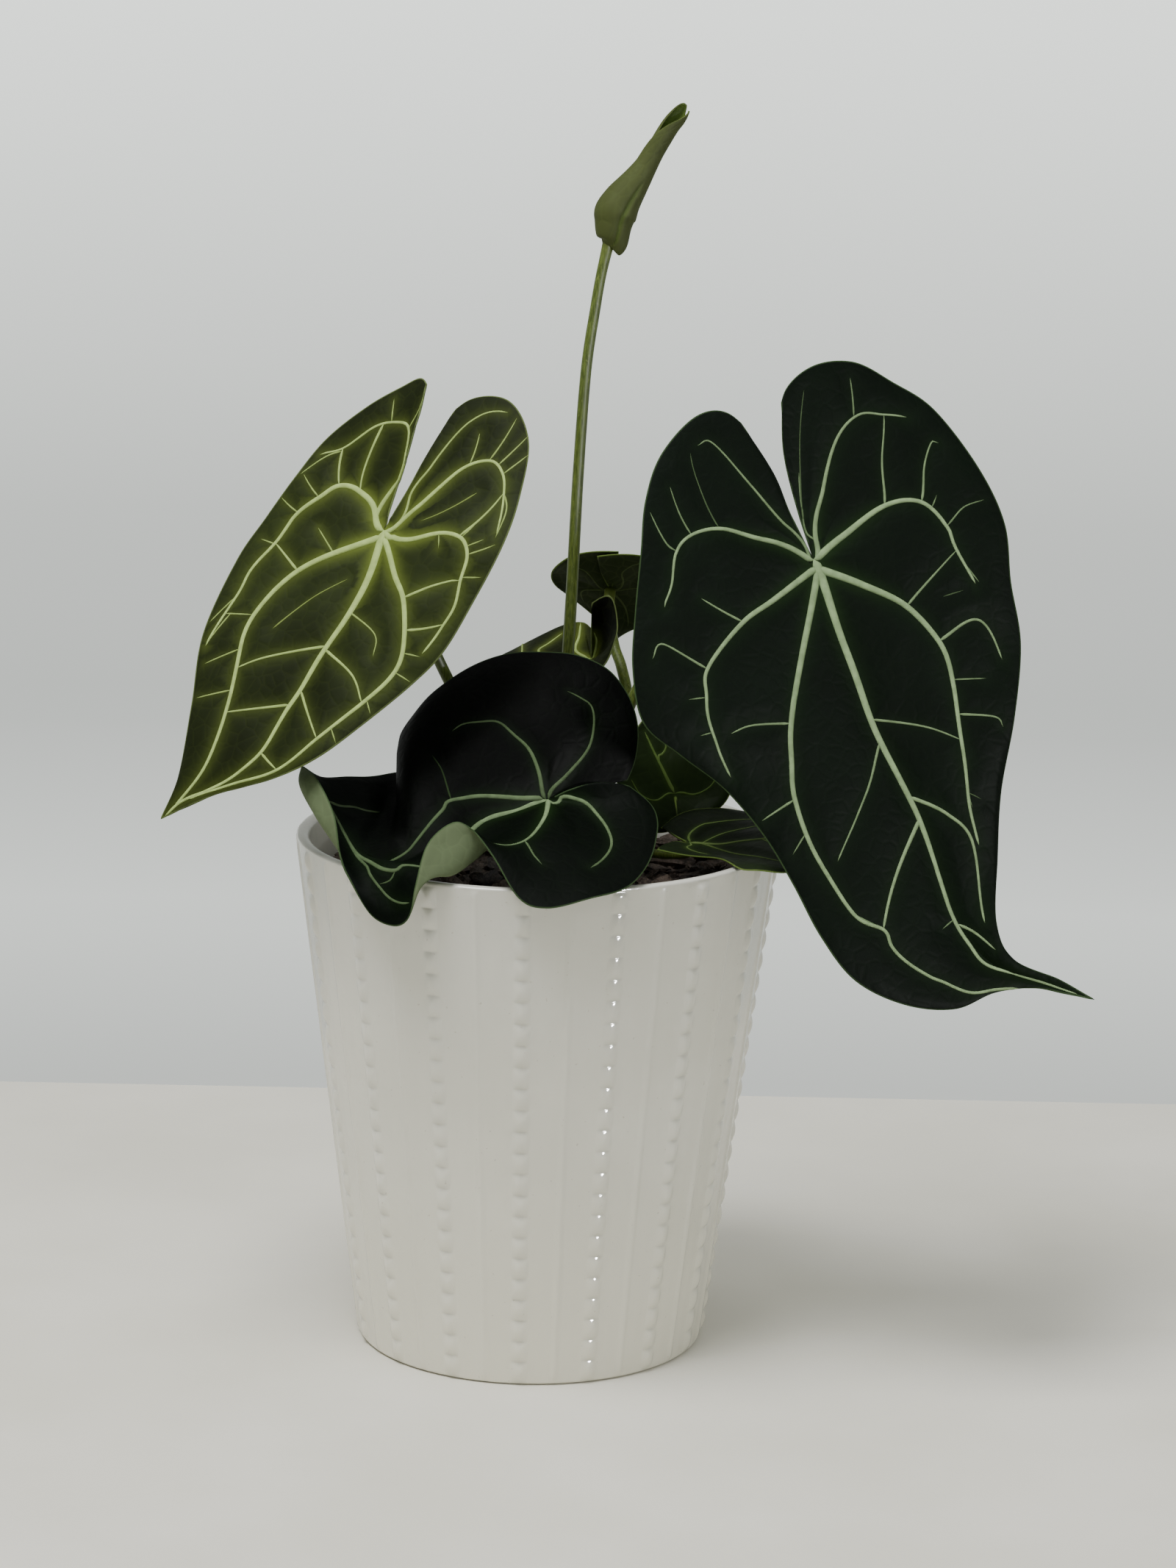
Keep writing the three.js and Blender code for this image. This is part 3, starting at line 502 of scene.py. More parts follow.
def rounded_block():
    """A unit block: an icosahedron split once and pushed out towards a cube."""
    ratio = (1 + 5**0.5) / 2
    points = [
        [-1, ratio, 0], [1, ratio, 0], [-1, -ratio, 0], [1, -ratio, 0],
        [0, -1, ratio], [0, 1, ratio], [0, -1, -ratio], [0, 1, -ratio],
        [ratio, 0, -1], [ratio, 0, 1], [-ratio, 0, -1], [-ratio, 0, 1],
    ]
    faces = [
        [0, 11, 5], [0, 5, 1], [0, 1, 7], [0, 7, 10], [0, 10, 11], [1, 5, 9], [5, 11, 4],
        [11, 10, 2], [10, 7, 6], [7, 1, 8], [3, 9, 4], [3, 4, 2], [3, 2, 6], [3, 6, 8],
        [3, 8, 9], [4, 9, 5], [2, 4, 11], [6, 2, 10], [8, 6, 7], [9, 8, 1],
    ]
    points, faces = unit(np.array(points, float)), np.array(faces)
    new = unit(((points[faces] + points[np.roll(faces, -1, 1)]) / 2).reshape(-1, 3))
    number = np.arange(len(new)).reshape(-1, 3) + len(points)
    corners = [
        np.stack([faces[:, i], number[:, i], number[:, i - 1]], -1) for i in range(3)
    ]
    faces = np.concatenate([*corners, number])
    points, back = np.unique(np.concatenate([points, new]).round(5), axis=0, return_inverse=True)
    return np.sign(points) * np.abs(points) ** BLOCK_ROUNDNESS, back.ravel()[faces]


def scattered(random):
    """Chip places over the mix, sizes, turns and shades."""
    distance = 60.5 * np.sqrt(random.uniform(0.0, 1, CHIPS))
    angle = random.uniform(0, 2 * math.pi, CHIPS)
    place = np.stack([
        distance * np.cos(angle), distance * np.sin(angle),
        MIX_LEVEL + 0.5 + random.uniform(-1.5, 3.0, CHIPS),
    ], -1)
    size = np.stack([
        random.uniform(3, 8.5, CHIPS), random.uniform(2, 4.6, CHIPS), random.uniform(1, 2.6, CHIPS),
    ], -1)
    small = random.uniform(size=CHIPS) < 0.4
    size[small] *= 0.45
    seen = np.array([[47, -9, 134], [35, -20, 134.5], [-30, -34, 134]])
    place[:3] = seen
    size[:3] = [[8.5, 4.5, 3.6], [5, 4, 3], [6, 4, 3]]
    reach = np.hypot(place[:, 0], place[:, 1]) + size[:, 0] * 0.8
    pull = np.minimum(1, CHIP_REACH / np.maximum(reach, 1))
    place[:, :2] *= pull[:, None]
    turn = random.normal(0, 0.3, (CHIPS, 3))
    turn[:, 2] = random.uniform(0, math.pi, CHIPS)
    return place, size, turn, random.uniform(0, 1, CHIPS) ** 1.4


def turned(points, turn):
    """Points (pieces, points, 3) turned about x, then y, then z."""
    for axis in range(3):
        c, s = np.cos(turn[:, axis])[:, None], np.sin(turn[:, axis])[:, None]
        u, v = (axis + 1) % 3, (axis + 2) % 3
        pu, pv = points[..., u].copy(), points[..., v].copy()
        points[..., u], points[..., v] = c * pu - s * pv, s * pu + c * pv
    return points


def make_mix():
    """A domed bed with soft lumps, and on it a scatter of bark chips: blocks
    stretched, dented by noise, tilted and half sunk."""
    count = 96
    angle = np.linspace(0, 2 * math.pi, count, endpoint=False)
    edge = wall_radius(MIX_LEVEL) - WALL_THICKNESS - 0.3
    low = wall_radius(10) - WALL_THICKNESS - 0.4
    shares = np.linspace(0.01, 1, 26)[::-1]
    bed = [polar(low - 3, angle, np.full(count, 6.4)), polar(low, angle, np.full(count, 10.0))]
    bed += [polar(edge * s, angle, np.full(count, MIX_LEVEL + 1.5 * (1 - s * s))) for s in shares]
    rings = np.array(bed)
    rings[3:, :, 2] += 1.0 * ripple(rings[3:], 9, 5, 4)
    bed_points, bed_faces = ring_body(rings)
    random = np.random.default_rng(11)
    block, block_faces = rounded_block()
    place, size, turn, shade = scattered(random)
    dent = 1 + 0.16 * random.normal(size=(CHIPS, len(block), 1))
    chips = turned(block[None] * dent * size[:, None, :] * 0.75, turn) + place[:, None, :]
    offset = np.arange(CHIPS)[:, None, None] * len(block) + len(bed_points)
    points = np.concatenate([bed_points, chips.reshape(-1, 3)])
    faces = np.concatenate([bed_faces, (block_faces[None] + offset).reshape(-1, 3)])
    shades = np.concatenate([np.full(len(bed_points), 0.1), np.repeat(shade, len(block))])
    values = {"shade": shades}
    piece = make_piece("bark_bed", points, faces, bark_finish(), values, ["potting_mix"])
    piece.data.polygons.foreach_set("use_smooth", np.arange(len(faces)) < len(bed_faces))


def make_crown():
    """A short knotty stem, and pointed papery sheaths standing round it. A
    sheath is a strip whose width follows a sine arch and whose cross section
    curls round the stem."""
    angle = np.linspace(0, 2 * math.pi, CROWN_SIDES, endpoint=False)
    profile = [
        (5.8, 127), (6.4, 130), (6.5, 132), (6.1, 134), (5.3, 136), (4.4, 137.2), (3.0, 138), (1, 138.1),
    ]
    rings = np.array([polar(r, angle, np.full(CROWN_SIDES, z)) for r, z in profile])
    rings[..., :2] *= 1 + 0.05 * ripple(rings, 3, 7)[..., None]
    rings[..., :2] += CROWN
    points, faces = ring_body(rings)
    parts, greens, all_faces, start = [points], [np.full(len(points), 0.35)], [faces], len(points)
    sheaths = [(20, 17, 7.0), (95, 13, 6.8), (160, 20, 7.2), (215, 12, 6.6), (275, 16, 7.0), (330, 10, 6.7)]
    for turn, height, radius in sheaths:
        up = np.linspace(0, 1, 24)[:, None]
        wide = np.linspace(-1, 1, 15)[None, :]
        half = 0.75 * np.sin(math.pi * (0.35 + 0.65 * up)) ** 0.8 + 0.012
        lean = radius - 1.4 * up + 3.5 * up**2.4
        strip = polar(lean, math.radians(turn) + wide * half, 129.5 + height * up + 0 * wide)
        strip[..., :2] += CROWN
        strip += 0.35 * ripple(strip, 5, turn)[..., None]
        index = np.arange(strip.size // 3).reshape(strip.shape[:2])
        flat, flat_faces = strip.reshape(-1, 3), grid_faces(index)
        body, body_faces = thicken(flat, point_normals(flat, flat_faces), flat_faces, 0.35)
        parts.append(body)
        greens.append(np.tile((0.5 * (1 - up) + 0 * wide).ravel(), 2))
        all_faces.append(body_faces + start)
        start += len(body)
    make_piece("crown_sheathed", np.concatenate(parts), np.concatenate(all_faces), crown_finish(),
               {"green": np.concatenate(greens)}, ["crown"])


# Leaf blades
# midrib runs from the tip to the heart, each margin from the tip, past the
# shoulder beside the heart, round the lobe, and each sinus line from the heart
# to the margin's end. Points are [along, across, lift] from the heart, across
# positive on the left side. heading is yaw, droop and twist in degrees. Many
# points are the output of a conversion run outside this file, from pixels read
# by eye and guessed depths, and others were changed by hand after it.
LEFT_LEAF = {
    "heart": [-43, -12, 231],
    "heading": [-132, 56, -8],
    "midrib": [
        [94, -31, -3], [88, -25, -2], [75, -11, 0], [54, -4, 0], [38, -2, 0], [24, 1, 0], [13, 2, 0],
        [0, 0, 0],
    ],
    "right": {
        "shoulder": 5,
        "arch": 1.5,
        "margin": [
            [94, -31, -3], [82, -30, -1], [62, -34, 2], [42, -40, 3], [19, -41, 2], [5, -38, 2],
            [-8, -34, 3], [-21, -31, 2], [-32, -23, 3], [-40, -16, 3], [-46, -10, 4], [-42, -3, 6],
        ],
        "sinus": [[0, 0, 0], [-12, -0.8, 2], [-28, 0, 6], [-42, -3, 6]],
    },
    "left": {
        "shoulder": 7,
        "arch": 1.5,
        "margin": [
            [94, -31, -3], [84, -16, -1], [76, 1, 1], [67, 12, 1], [54, 20, -1], [39, 28, -3],
            [28, 33, -3], [12, 36, -2], [-4, 38, -1], [-19, 36, -3], [-36, 33, -3], [-48, 24, -2],
            [-48, 12, -1], [-39, 5, 0],
        ],
        "sinus": [[0, 0, 0], [-12, 1.3, 0], [-26, 3, 0], [-39, 5, 0]],
    },
}

RIGHT_LEAF = {
    "heart": [74, -10, 225],
    "heading": [-48, 60, 29],
    "midrib": [
        [138, 32, 4], [130, 21, 2], [121, 10, 1], [110, 5, 0], [95, 4, 0], [75, 3, 0], [50, 0, 0],
        [26, 0, 0], [0, 0, 0],
    ],
    "right": {
        "shoulder": 14,
        "arch": 2,
        "margin": [
            [138, 32, 4], [134, 25, 3], [130, 18, 2], [128, 7, 2], [129, -5, 2], [124, -18, 3],
            [114, -29, 4],
            [100, -34, 4], [84, -36, 2], [69, -39, 1], [54, -45, 1], [42, -54, 3], [31, -61, 4],
            [16, -59, 4], [1, -53, 3], [-15, -46, 3], [-28, -41, 2], [-40, -34, 1], [-50, -22, 1],
            [-51, -13, 1], [-42, -7, 2],
        ],
        "sinus": [[0, 0, 0], [-14, -2, 1], [-26, -3, 2], [-42, -7, 2]],
    },
    "left": {
        "shoulder": 9,
        "arch": 2,
        "margin": [
            [138, 32, 4], [130, 25, 3], [121, 15, 2], [110, 14, 2], [93, 21, 0], [76, 28, 1],
            [58, 38, 3], [39, 47, 2], [22, 50, 3], [6, 54, 3], [-11, 53, 2], [-31, 48, 0],
            [-42, 41, 0], [-52, 34, 1], [-56, 23, 3], [-53, 12, 4], [-44, 5, 4],
        ],
        "sinus": [[0, 0, 0], [-14, 0, 1], [-30, 1, 3], [-44, 5, 4]],
    },
}

FRONT_LEAF = {
    "heart": [3, -30, 161],
    "heading": [184, 4, -38],
    "midrib": [
        [66, -14, 4], [61, -6, 1], [57, 3, 0], [54, 10, 1], [51, 16, 2], [46, 22, 5], [41, 21, 3],
        [35, 18, 3], [27, 13, 4], [19, 8, 2], [9, 4, 1], [0, 0, 0],
    ],
    "left": {
        "shoulder": 13,
        "margin": [
            [66, -14, 4], [62, -1, 14], [58, 11, 13], [57, 22, 8], [55, 28, 6], [50, 37, 2],
            [44, 42, 3], [40, 43, 8], [38, 37, 13], [34, 27, 18], [27, 21, 19], [22, 22, 17],
            [17, 31, 16], [11, 44, 14], [4, 48, 14], [-7, 47, 14], [-19, 44, 11], [-29, 32, 6],
            [-35, 15, 1.5], [-22, 1, 5],
        ],
        "sinus": [[0, 0, 0], [-6, -0.8, 3], [-14, -0.8, 5], [-22, 1, 5]],
        "belly_shoulder": 13,
        "belly": [
            [66, -14, 4], [67, -4, 8], [63, 8, 8], [57, 17, 5], [53, 22, 4], [48, 26, 6],
            [43, 28, 8], [38, 30, 10], [33, 32, 11], [28, 32, 10], [22, 27, 9], [16, 21, 8],
            [10, 22, 10], [3, 23, 10], [-3, 23, 9], [-9, 22, 7], [-15, 17, 4], [-18, 9, 2],
            [-10, -0.5, 4],
        ],
    },
    "right": {
        "shoulder": 12,
        "margin": [
            [66, -14, 4], [61, -14, -1], [54, -16, -4], [48, -18, -7], [43, -21, -10],
            [37, -24, -12], [36, -25, -8], [39, -25, 0], [34, -31, 4], [28, -35, 8], [18, -40, 11],
            [8, -42, 13], [-2, -41, 14], [-12, -39, 14], [-21, -34, 13], [-27, -24, 10],
            [-27, -14, 5], [-22, -4.5, 0.5],
        ],
        "sinus": [[0, 0, 0], [-11, -2.4, 1], [-22, -4.5, 0.5]],
        "belly_shoulder": 12,
        "belly": [
            [66, -14, 4], [60, -9, 0], [55, -6, -2], [49, -4, -4], [45, -3, -6], [42, 0, -4],
            [41, 2, -1], [40, 0, 2], [37, -7, 6], [30, -12, 8], [21, -15, 10], [10, -17, 11],
            [-1, -17, 11], [-7, -16, 10], [-12, -14, 8], [-15, -11, 6], [-14, -6, 3],
            [-11, -2.4, 1],
        ],
    },
}

MIDDLE_LEAF = {
    "heart": [14, 28, 189],
    "heading": [176, 10, -35],
    "midrib": [[34, 7, 5], [25, 7, 7], [17, 6, 6], [9, 3, 3], [0, 0, 0]],
    "right": {
        "shoulder": 5,
        "margin": [
            [34, 7, 5], [29, -1, 2], [24, -7, 0], [17, -13, -2], [8, -16, -1], [2, -15, 0],
            [-1, -11, 0],
        ],
        "sinus": [[0, 0, 0], [-1, -5, 0], [-1, -11, 0]],
    },
    "left": {
        "shoulder": 5,
        "margin": [
            [34, 7, 5], [24, 15, 8], [13, 18, 8], [2, 16, 8], [-5, 12, 9], [-9, 6, 13], [-10, 1, 15],
            [-10, -4, 19], [-8, -6, 19], [-3, -6, 16],
        ],
        "sinus": [[0, 0, 0], [-0.8, -1.8, 5], [-1.8, -3.9, 10.5], [-3, -6, 16]],
    },
}

LOW_LEAF = {
    "heart": [42, -14, 146],
    "heading": [-8, -3, 8],
    "midrib": [[34, -3, 1], [28, -3, 3], [21, -3, 3], [10, -2, 1], [0, 0, 0]],
    "left": {
        "shoulder": 4,
        "margin": [
            [34, -3, 1], [29, 6, 2], [21, 15, 2], [12, 20, 2], [5, 22, 2], [-4, 19, 2], [-9, 9, 1],
        ],
        "sinus": [[0, 0, 0], [-5, 3, 1], [-9, 9, 1]],
    },
    "right": {
        "shoulder": 5,
        "margin": [
            [34, -3, 1], [33, -18, 0], [29, -25, 1], [22, -26, 2], [17, -25, 2], [11, -20, 3],
            [1, -15, 2], [-8, -8, 1],
        ],
        "sinus": [[0, 0, 0], [-4, -2.5, 1], [-8, -8, 1]],
    },
}

UPRIGHT_LEAF = {
    "heart": [38, 12, 154],
    "heading": [110, -70, 0],
    "midrib": [[24, 4, -2], [15, 3, -1], [7, 2, 0], [0, 0, 0]],
    "left": {
        "shoulder": 3,
        "margin": [
            [24, 4, -2], [19, 9, -2], [12, 14, -1], [5, 16, -2], [-5, 15, -1], [-11, 9, -1], [-10, -1, 0.3],
        ],
        "sinus": [[0, 0, 0], [-5, -0.6, 0.3], [-10, -1, 0.3]],
    },
    "right": {
        "shoulder": 3,
        "margin": [
            [24, 4, -2], [20, -6, 0], [11, -13, 3], [4, -16, 5], [-5, -13, 4], [-10, 1, 1.6],
        ],
        "sinus": [[0, 0, 0], [-5, 0.6, 1.2], [-10, 1, 1.6]],
    },
}

BACK_LEAF = {
    "heart": [19, 45, 206],
    "heading": [85, 49, 0],
    "midrib": [[19, 1, -5], [13, -1, -3], [7, -1, -1], [0, 0, 0]],
    "left": {
        "shoulder": 5,
        "margin": [
            [19, 1, -5], [15, 2, -4], [12, 4, -2], [10, 7, 0], [5, 12, 1], [0, 16, 1], [-5, 17, 1],
            [-11, 15, 0], [-15, 12, 0], [-17, 7, 0], [-16, -3, 1],
        ],
        "sinus": [[0, 0, 0], [-5, -1.5, 0.6], [-10, -2.5, 1], [-16, -3, 1]],
    },
    "right": {
        "shoulder": 4,
        "margin": [
            [19, 1, -5], [16, -4, -3], [13, -9, -2], [9, -13, 0], [3, -16, 1], [-4, -17, 1],
            [-12, -16, 0], [-16, -13, 0], [-17, -7, 0], [-16, 3, -1],
        ],
        "sinus": [[0, 0, 0], [-5, 1.5, -0.6], [-10, 2.5, -1], [-16, 3, -1]],
    },
}

CAD_BLADE_THICKNESS = 0.65
BLADE_THICKNESS = 0.5

# The photograph's camera: a long lens, 12.5 degrees down, rolled a little. It
# was fitted outside this file to the pot's rim and foot, for a distance chosen
# by hand.
CAMERA_PLACE = np.array([13.7156, -1200, 425.5716])
CAMERA_PITCH = 0.2185996
CAMERA_ROLL = 0.019505
PHOTO_WIDTH, PHOTO_HEIGHT = 1600, 2133
FOCAL_PIXELS = 6014


def camera_axes():
    """The camera's right, up and forward directions: level, then pitched
    down, then rolled about the view."""
    forward = np.array([0, math.cos(CAMERA_PITCH), -math.sin(CAMERA_PITCH)])
    level_up = np.array([0, math.sin(CAMERA_PITCH), math.cos(CAMERA_PITCH)])
    level_right = np.array([1.0, 0, 0])
    c, s = math.cos(CAMERA_ROLL), math.sin(CAMERA_ROLL)
    return level_right * c + level_up * s, level_up * c - level_right * s, forward


def seen_at(points):
    """Pixels of the photograph at which points show, and their depths: the
    share of right and of up in each point's view, over its depth, times the
    focal length."""
    right, up, forward = camera_axes()
    view = points - CAMERA_PLACE
    depth = view @ forward
    x = PHOTO_WIDTH / 2 + FOCAL_PIXELS * (view @ right) / depth
    y = PHOTO_HEIGHT / 2 - FOCAL_PIXELS * (view @ up) / depth
    return np.stack([x, y], -1), depth


def leaf_axes(heading):
    """Rows: the leaf's along, across and lift directions after twist about
    along, droop about across and yaw about the upright."""
    yaw, droop, twist = np.radians(heading)
    cy, sy, cd, sd, ct, st = (
        np.cos(yaw), np.sin(yaw), np.cos(droop), np.sin(droop), np.cos(twist), np.sin(twist),
    )
    about_z = np.array([[cy, -sy, 0], [sy, cy, 0], [0, 0, 1]])
    about_y = np.array([[cd, 0, sd], [0, 1, 0], [-sd, 0, cd]])
    about_x = np.array([[1, 0, 0], [0, ct, -st], [0, st, ct]])
    return (about_z @ about_y @ about_x).T


def along_list(count, shoulder, station):
    """Place on a list of points: its shoulder is at station 1, its end at 2."""
    index = np.where(station <= 1, station * shoulder, shoulder + (station - 1) * (count - 1 - shoulder))
    return index / (count - 1)


def side_point(leaf, side, station, out):
    """Point of one side of a blade. Each ray runs from the midrib or the
    heart (out 0) to the margin (out 1): a parabola through the belly line
    where the side has one, else straight, with lift growing as out^1.5 under
    a low arch. Past the shoulder, rays turn into the sinus line with the cube
    of the distance past it."""
    shape = leaf[side]
    margin = shape["margin"]
    edge = curve_point(margin, along_list(len(margin), shape["shoulder"], station))
    middle = curve_point(leaf["midrib"], np.minimum(station, 1))
    o = out[..., None]
    if "belly" in shape:
        belly = shape["belly"]
        half = curve_point(belly, along_list(len(belly), shape["belly_shoulder"], station))
        ray = middle * (1 - o) * (1 - 2 * o) + 4 * o * (1 - o) * half + o * (2 * o - 1) * edge
    else:
        ray = middle + (edge - middle) * o
        arch = shape.get("arch", 0) * 4 * out * (1 - out) * np.sin(math.pi * station / 2)
        ray[..., 2] = middle[..., 2] + (edge[..., 2] - middle[..., 2]) * out**1.5 + arch
    sinus = curve_point(shape["sinus"], out)
    past = np.clip(station - 1, 0, None)[..., None] ** 3
    return ray + (sinus - ray) * past


def blade_point(leaf, station, across):
    """Point of the blade, across from -1 (right margin) to 1 (left)."""
    out = np.abs(across)
    left = side_point(leaf, "left", station, out)
    right = side_point(leaf, "right", station, out)
    local = np.where((across >= 0)[..., None], left, right)
    return local @ leaf_axes(leaf["heading"]) + np.array(leaf["heart"])


def even_stations(leaf, rows):
    """Stations from 0 to 2 whose steps along the two margins are even, with
    one exactly at 1."""
    fine = np.linspace(0, 2, 2001)
    length = sum(arc_lengths(blade_point(leaf, fine, np.full(2001, e))) for e in (-1.0, 1.0))
    before = round(rows * length[1000] / length[-1])
    first = np.interp(np.linspace(0, length[1000], before, endpoint=False), length, fine)
    second = np.interp(np.linspace(length[1000], length[-1], rows - before + 1), length, fine)
    second[0] = 1.0
    return np.concatenate([first, second])


def nearest(points, targets):
    """Distance from each point to the nearest target, and its number."""
    distance, number = np.empty(len(points)), np.empty(len(points), int)
    for start in range(0, len(points), 3000):
        block = points[start:start + 3000]
        square = (block**2).sum(1)[:, None] - 2 * block @ targets.T + (targets**2).sum(1)
        number[start:start + 3000] = square.argmin(1)
        distance[start:start + 3000] = np.sqrt(np.maximum(square.min(1), 0))
    return distance, number


def on_grid(grid, stations, columns, station, across):
    """Value of a grid of points at any station and across, by blending the
    four grid points round it."""
    row = np.interp(station, stations, np.arange(len(stations)))
    column = np.interp(across, columns, np.arange(len(columns)))
    i, j = np.minimum(row.astype(int), len(stations) - 2), np.minimum(column.astype(int), len(columns) - 2)
    f, g = (row - i)[:, None], (column - j)[:, None]
    low = grid[i, j] * (1 - g) + grid[i, j + 1] * g
    high = grid[i + 1, j] * (1 - g) + grid[i + 1, j + 1] * g
    return low * (1 - f) + high * f


def blade_sight(leaf):
    """A fine grid over a blade: its stations and acrosses, the pixels at
    which its points show in the photograph, and their depths."""
    station, across = np.meshgrid(np.linspace(0, 2, 560), np.linspace(-1, 1, 261), indexing="ij")
    station, across = station.ravel(), across.ravel()
    return station, across, *seen_at(blade_point(leaf, station, across))


def traced(sight, pixels):
    """Blade places [station, across] that show at pixels of the photograph:
    of the points within about two pixels, the one nearest the camera."""
    station, across, shown, depth = sight
    gap = np.linalg.norm(shown[None] - pixels[:, None], axis=2)
    close = gap < gap.min(1, keepdims=True) + 2
    best = np.where(close, depth + 2 * gap, np.inf).argmin(1)
    return np.stack([station[best], across[best]], -1)


def vein_line(veins_so_far, vein, leaf, sight, spacing):
    """A vein as stations, acrosses and half widths at even steps along it.
    Its foot, and its end where the vein is a link, are moved onto the nearest
    earlier vein if one is close by."""
    foot_width, end_width, path, strength = vein
    path = np.array(path, float)
    read = path[:, 0] > 2
    path[read] = traced(sight, path[read])
    places = blade_point(leaf, path[:, 0], path[:, 1])
    if veins_so_far:
        earlier = np.concatenate([v[:, :2] for v in veins_so_far])
        spots = blade_point(leaf, earlier[:, 0], earlier[:, 1])
        for end, reach in ((0, 4.5), (-1, 2.5 if strength > 0.65 and abs(path[-1][1]) < 0.88 else 0)):
            distance, number = nearest(places[[end]], spots)
            if distance[0] < reach:
                path[end] = earlier[number[0]]
    t = np.linspace(0, 1, 400)
    fine = curve_point(path, t)
    fine[:, 0], fine[:, 1] = np.clip(fine[:, 0], 0, 2), np.clip(fine[:, 1], -1, 1)
    length = arc_lengths(blade_point(leaf, fine[:, 0], fine[:, 1]))
    count = max(5, int(length[-1] / spacing))
    share = np.linspace(0, 1, count)
    at = np.interp(share * length[-1], length, t)
    line = np.stack([np.interp(at, t, fine[:, 0]), np.interp(at, t, fine[:, 1])], -1)
    width = VEIN_WIDENING * (foot_width + (end_width - foot_width) * share**0.7)
    return np.column_stack([line, width, np.full(count, strength)])


VEIN_SIDES = 12
VEIN_SPACING = 0.8
VEIN_WIDENING = 1.12
HALO_REACH = 20
PALE_REACH = 26


def vein_tubes(lines, grid, normals, stations, columns, thickness, rise):
    """Closed ridges through the blade, one for each vein: the cross section
    is as wide as the vein and stands out of both faces with a rounded top,
    1 - (distance from the middle / half width) squared."""
    points, faces, crest, rank, below, start = [], [], [], [], [], 0
    turn = np.arange(VEIN_SIDES) * 2 * math.pi / VEIN_SIDES
    side, face = np.cos(turn), np.sign(np.round(np.sin(turn), 6))
    top = 1 - side**2
    for line in lines:
        middle = on_grid(grid, stations, columns, line[:, 0], line[:, 1])
        up = unit(on_grid(normals, stations, columns, line[:, 0], line[:, 1]))
        tangent = unit(np.gradient(middle, axis=0))
        across = unit(np.cross(up, tangent))
        width = line[:, 2][:, None]
        share = np.linspace(0, 1, len(line))[:, None]
        closing = np.clip(np.minimum(share, 1 - share) * len(line) / 2.5 + 0.15, 0, 1)
        width = width * closing
        height = (thickness / 2 + rise * width * top * np.where(face > 0, 1.0, 0.8)) * face
        aside = across[:, None] * (width * side)[..., None]
        ring = middle[:, None] + aside + up[:, None] * height[..., None]
        body, body_faces = ring_body(ring)
        points.append(body)
        faces.append(body_faces + start)
        crest.append(np.append(np.tile(top, len(line)), [1, 1]))
        below.append(np.append(np.tile(face < 0, len(line)), [0, 0]))
        rank.append(np.append(np.repeat(line[:, 3], VEIN_SIDES), line[[0, -1], 3]))
        start += len(body)
    return tuple(np.concatenate(part) for part in (points, faces, crest, rank, below))


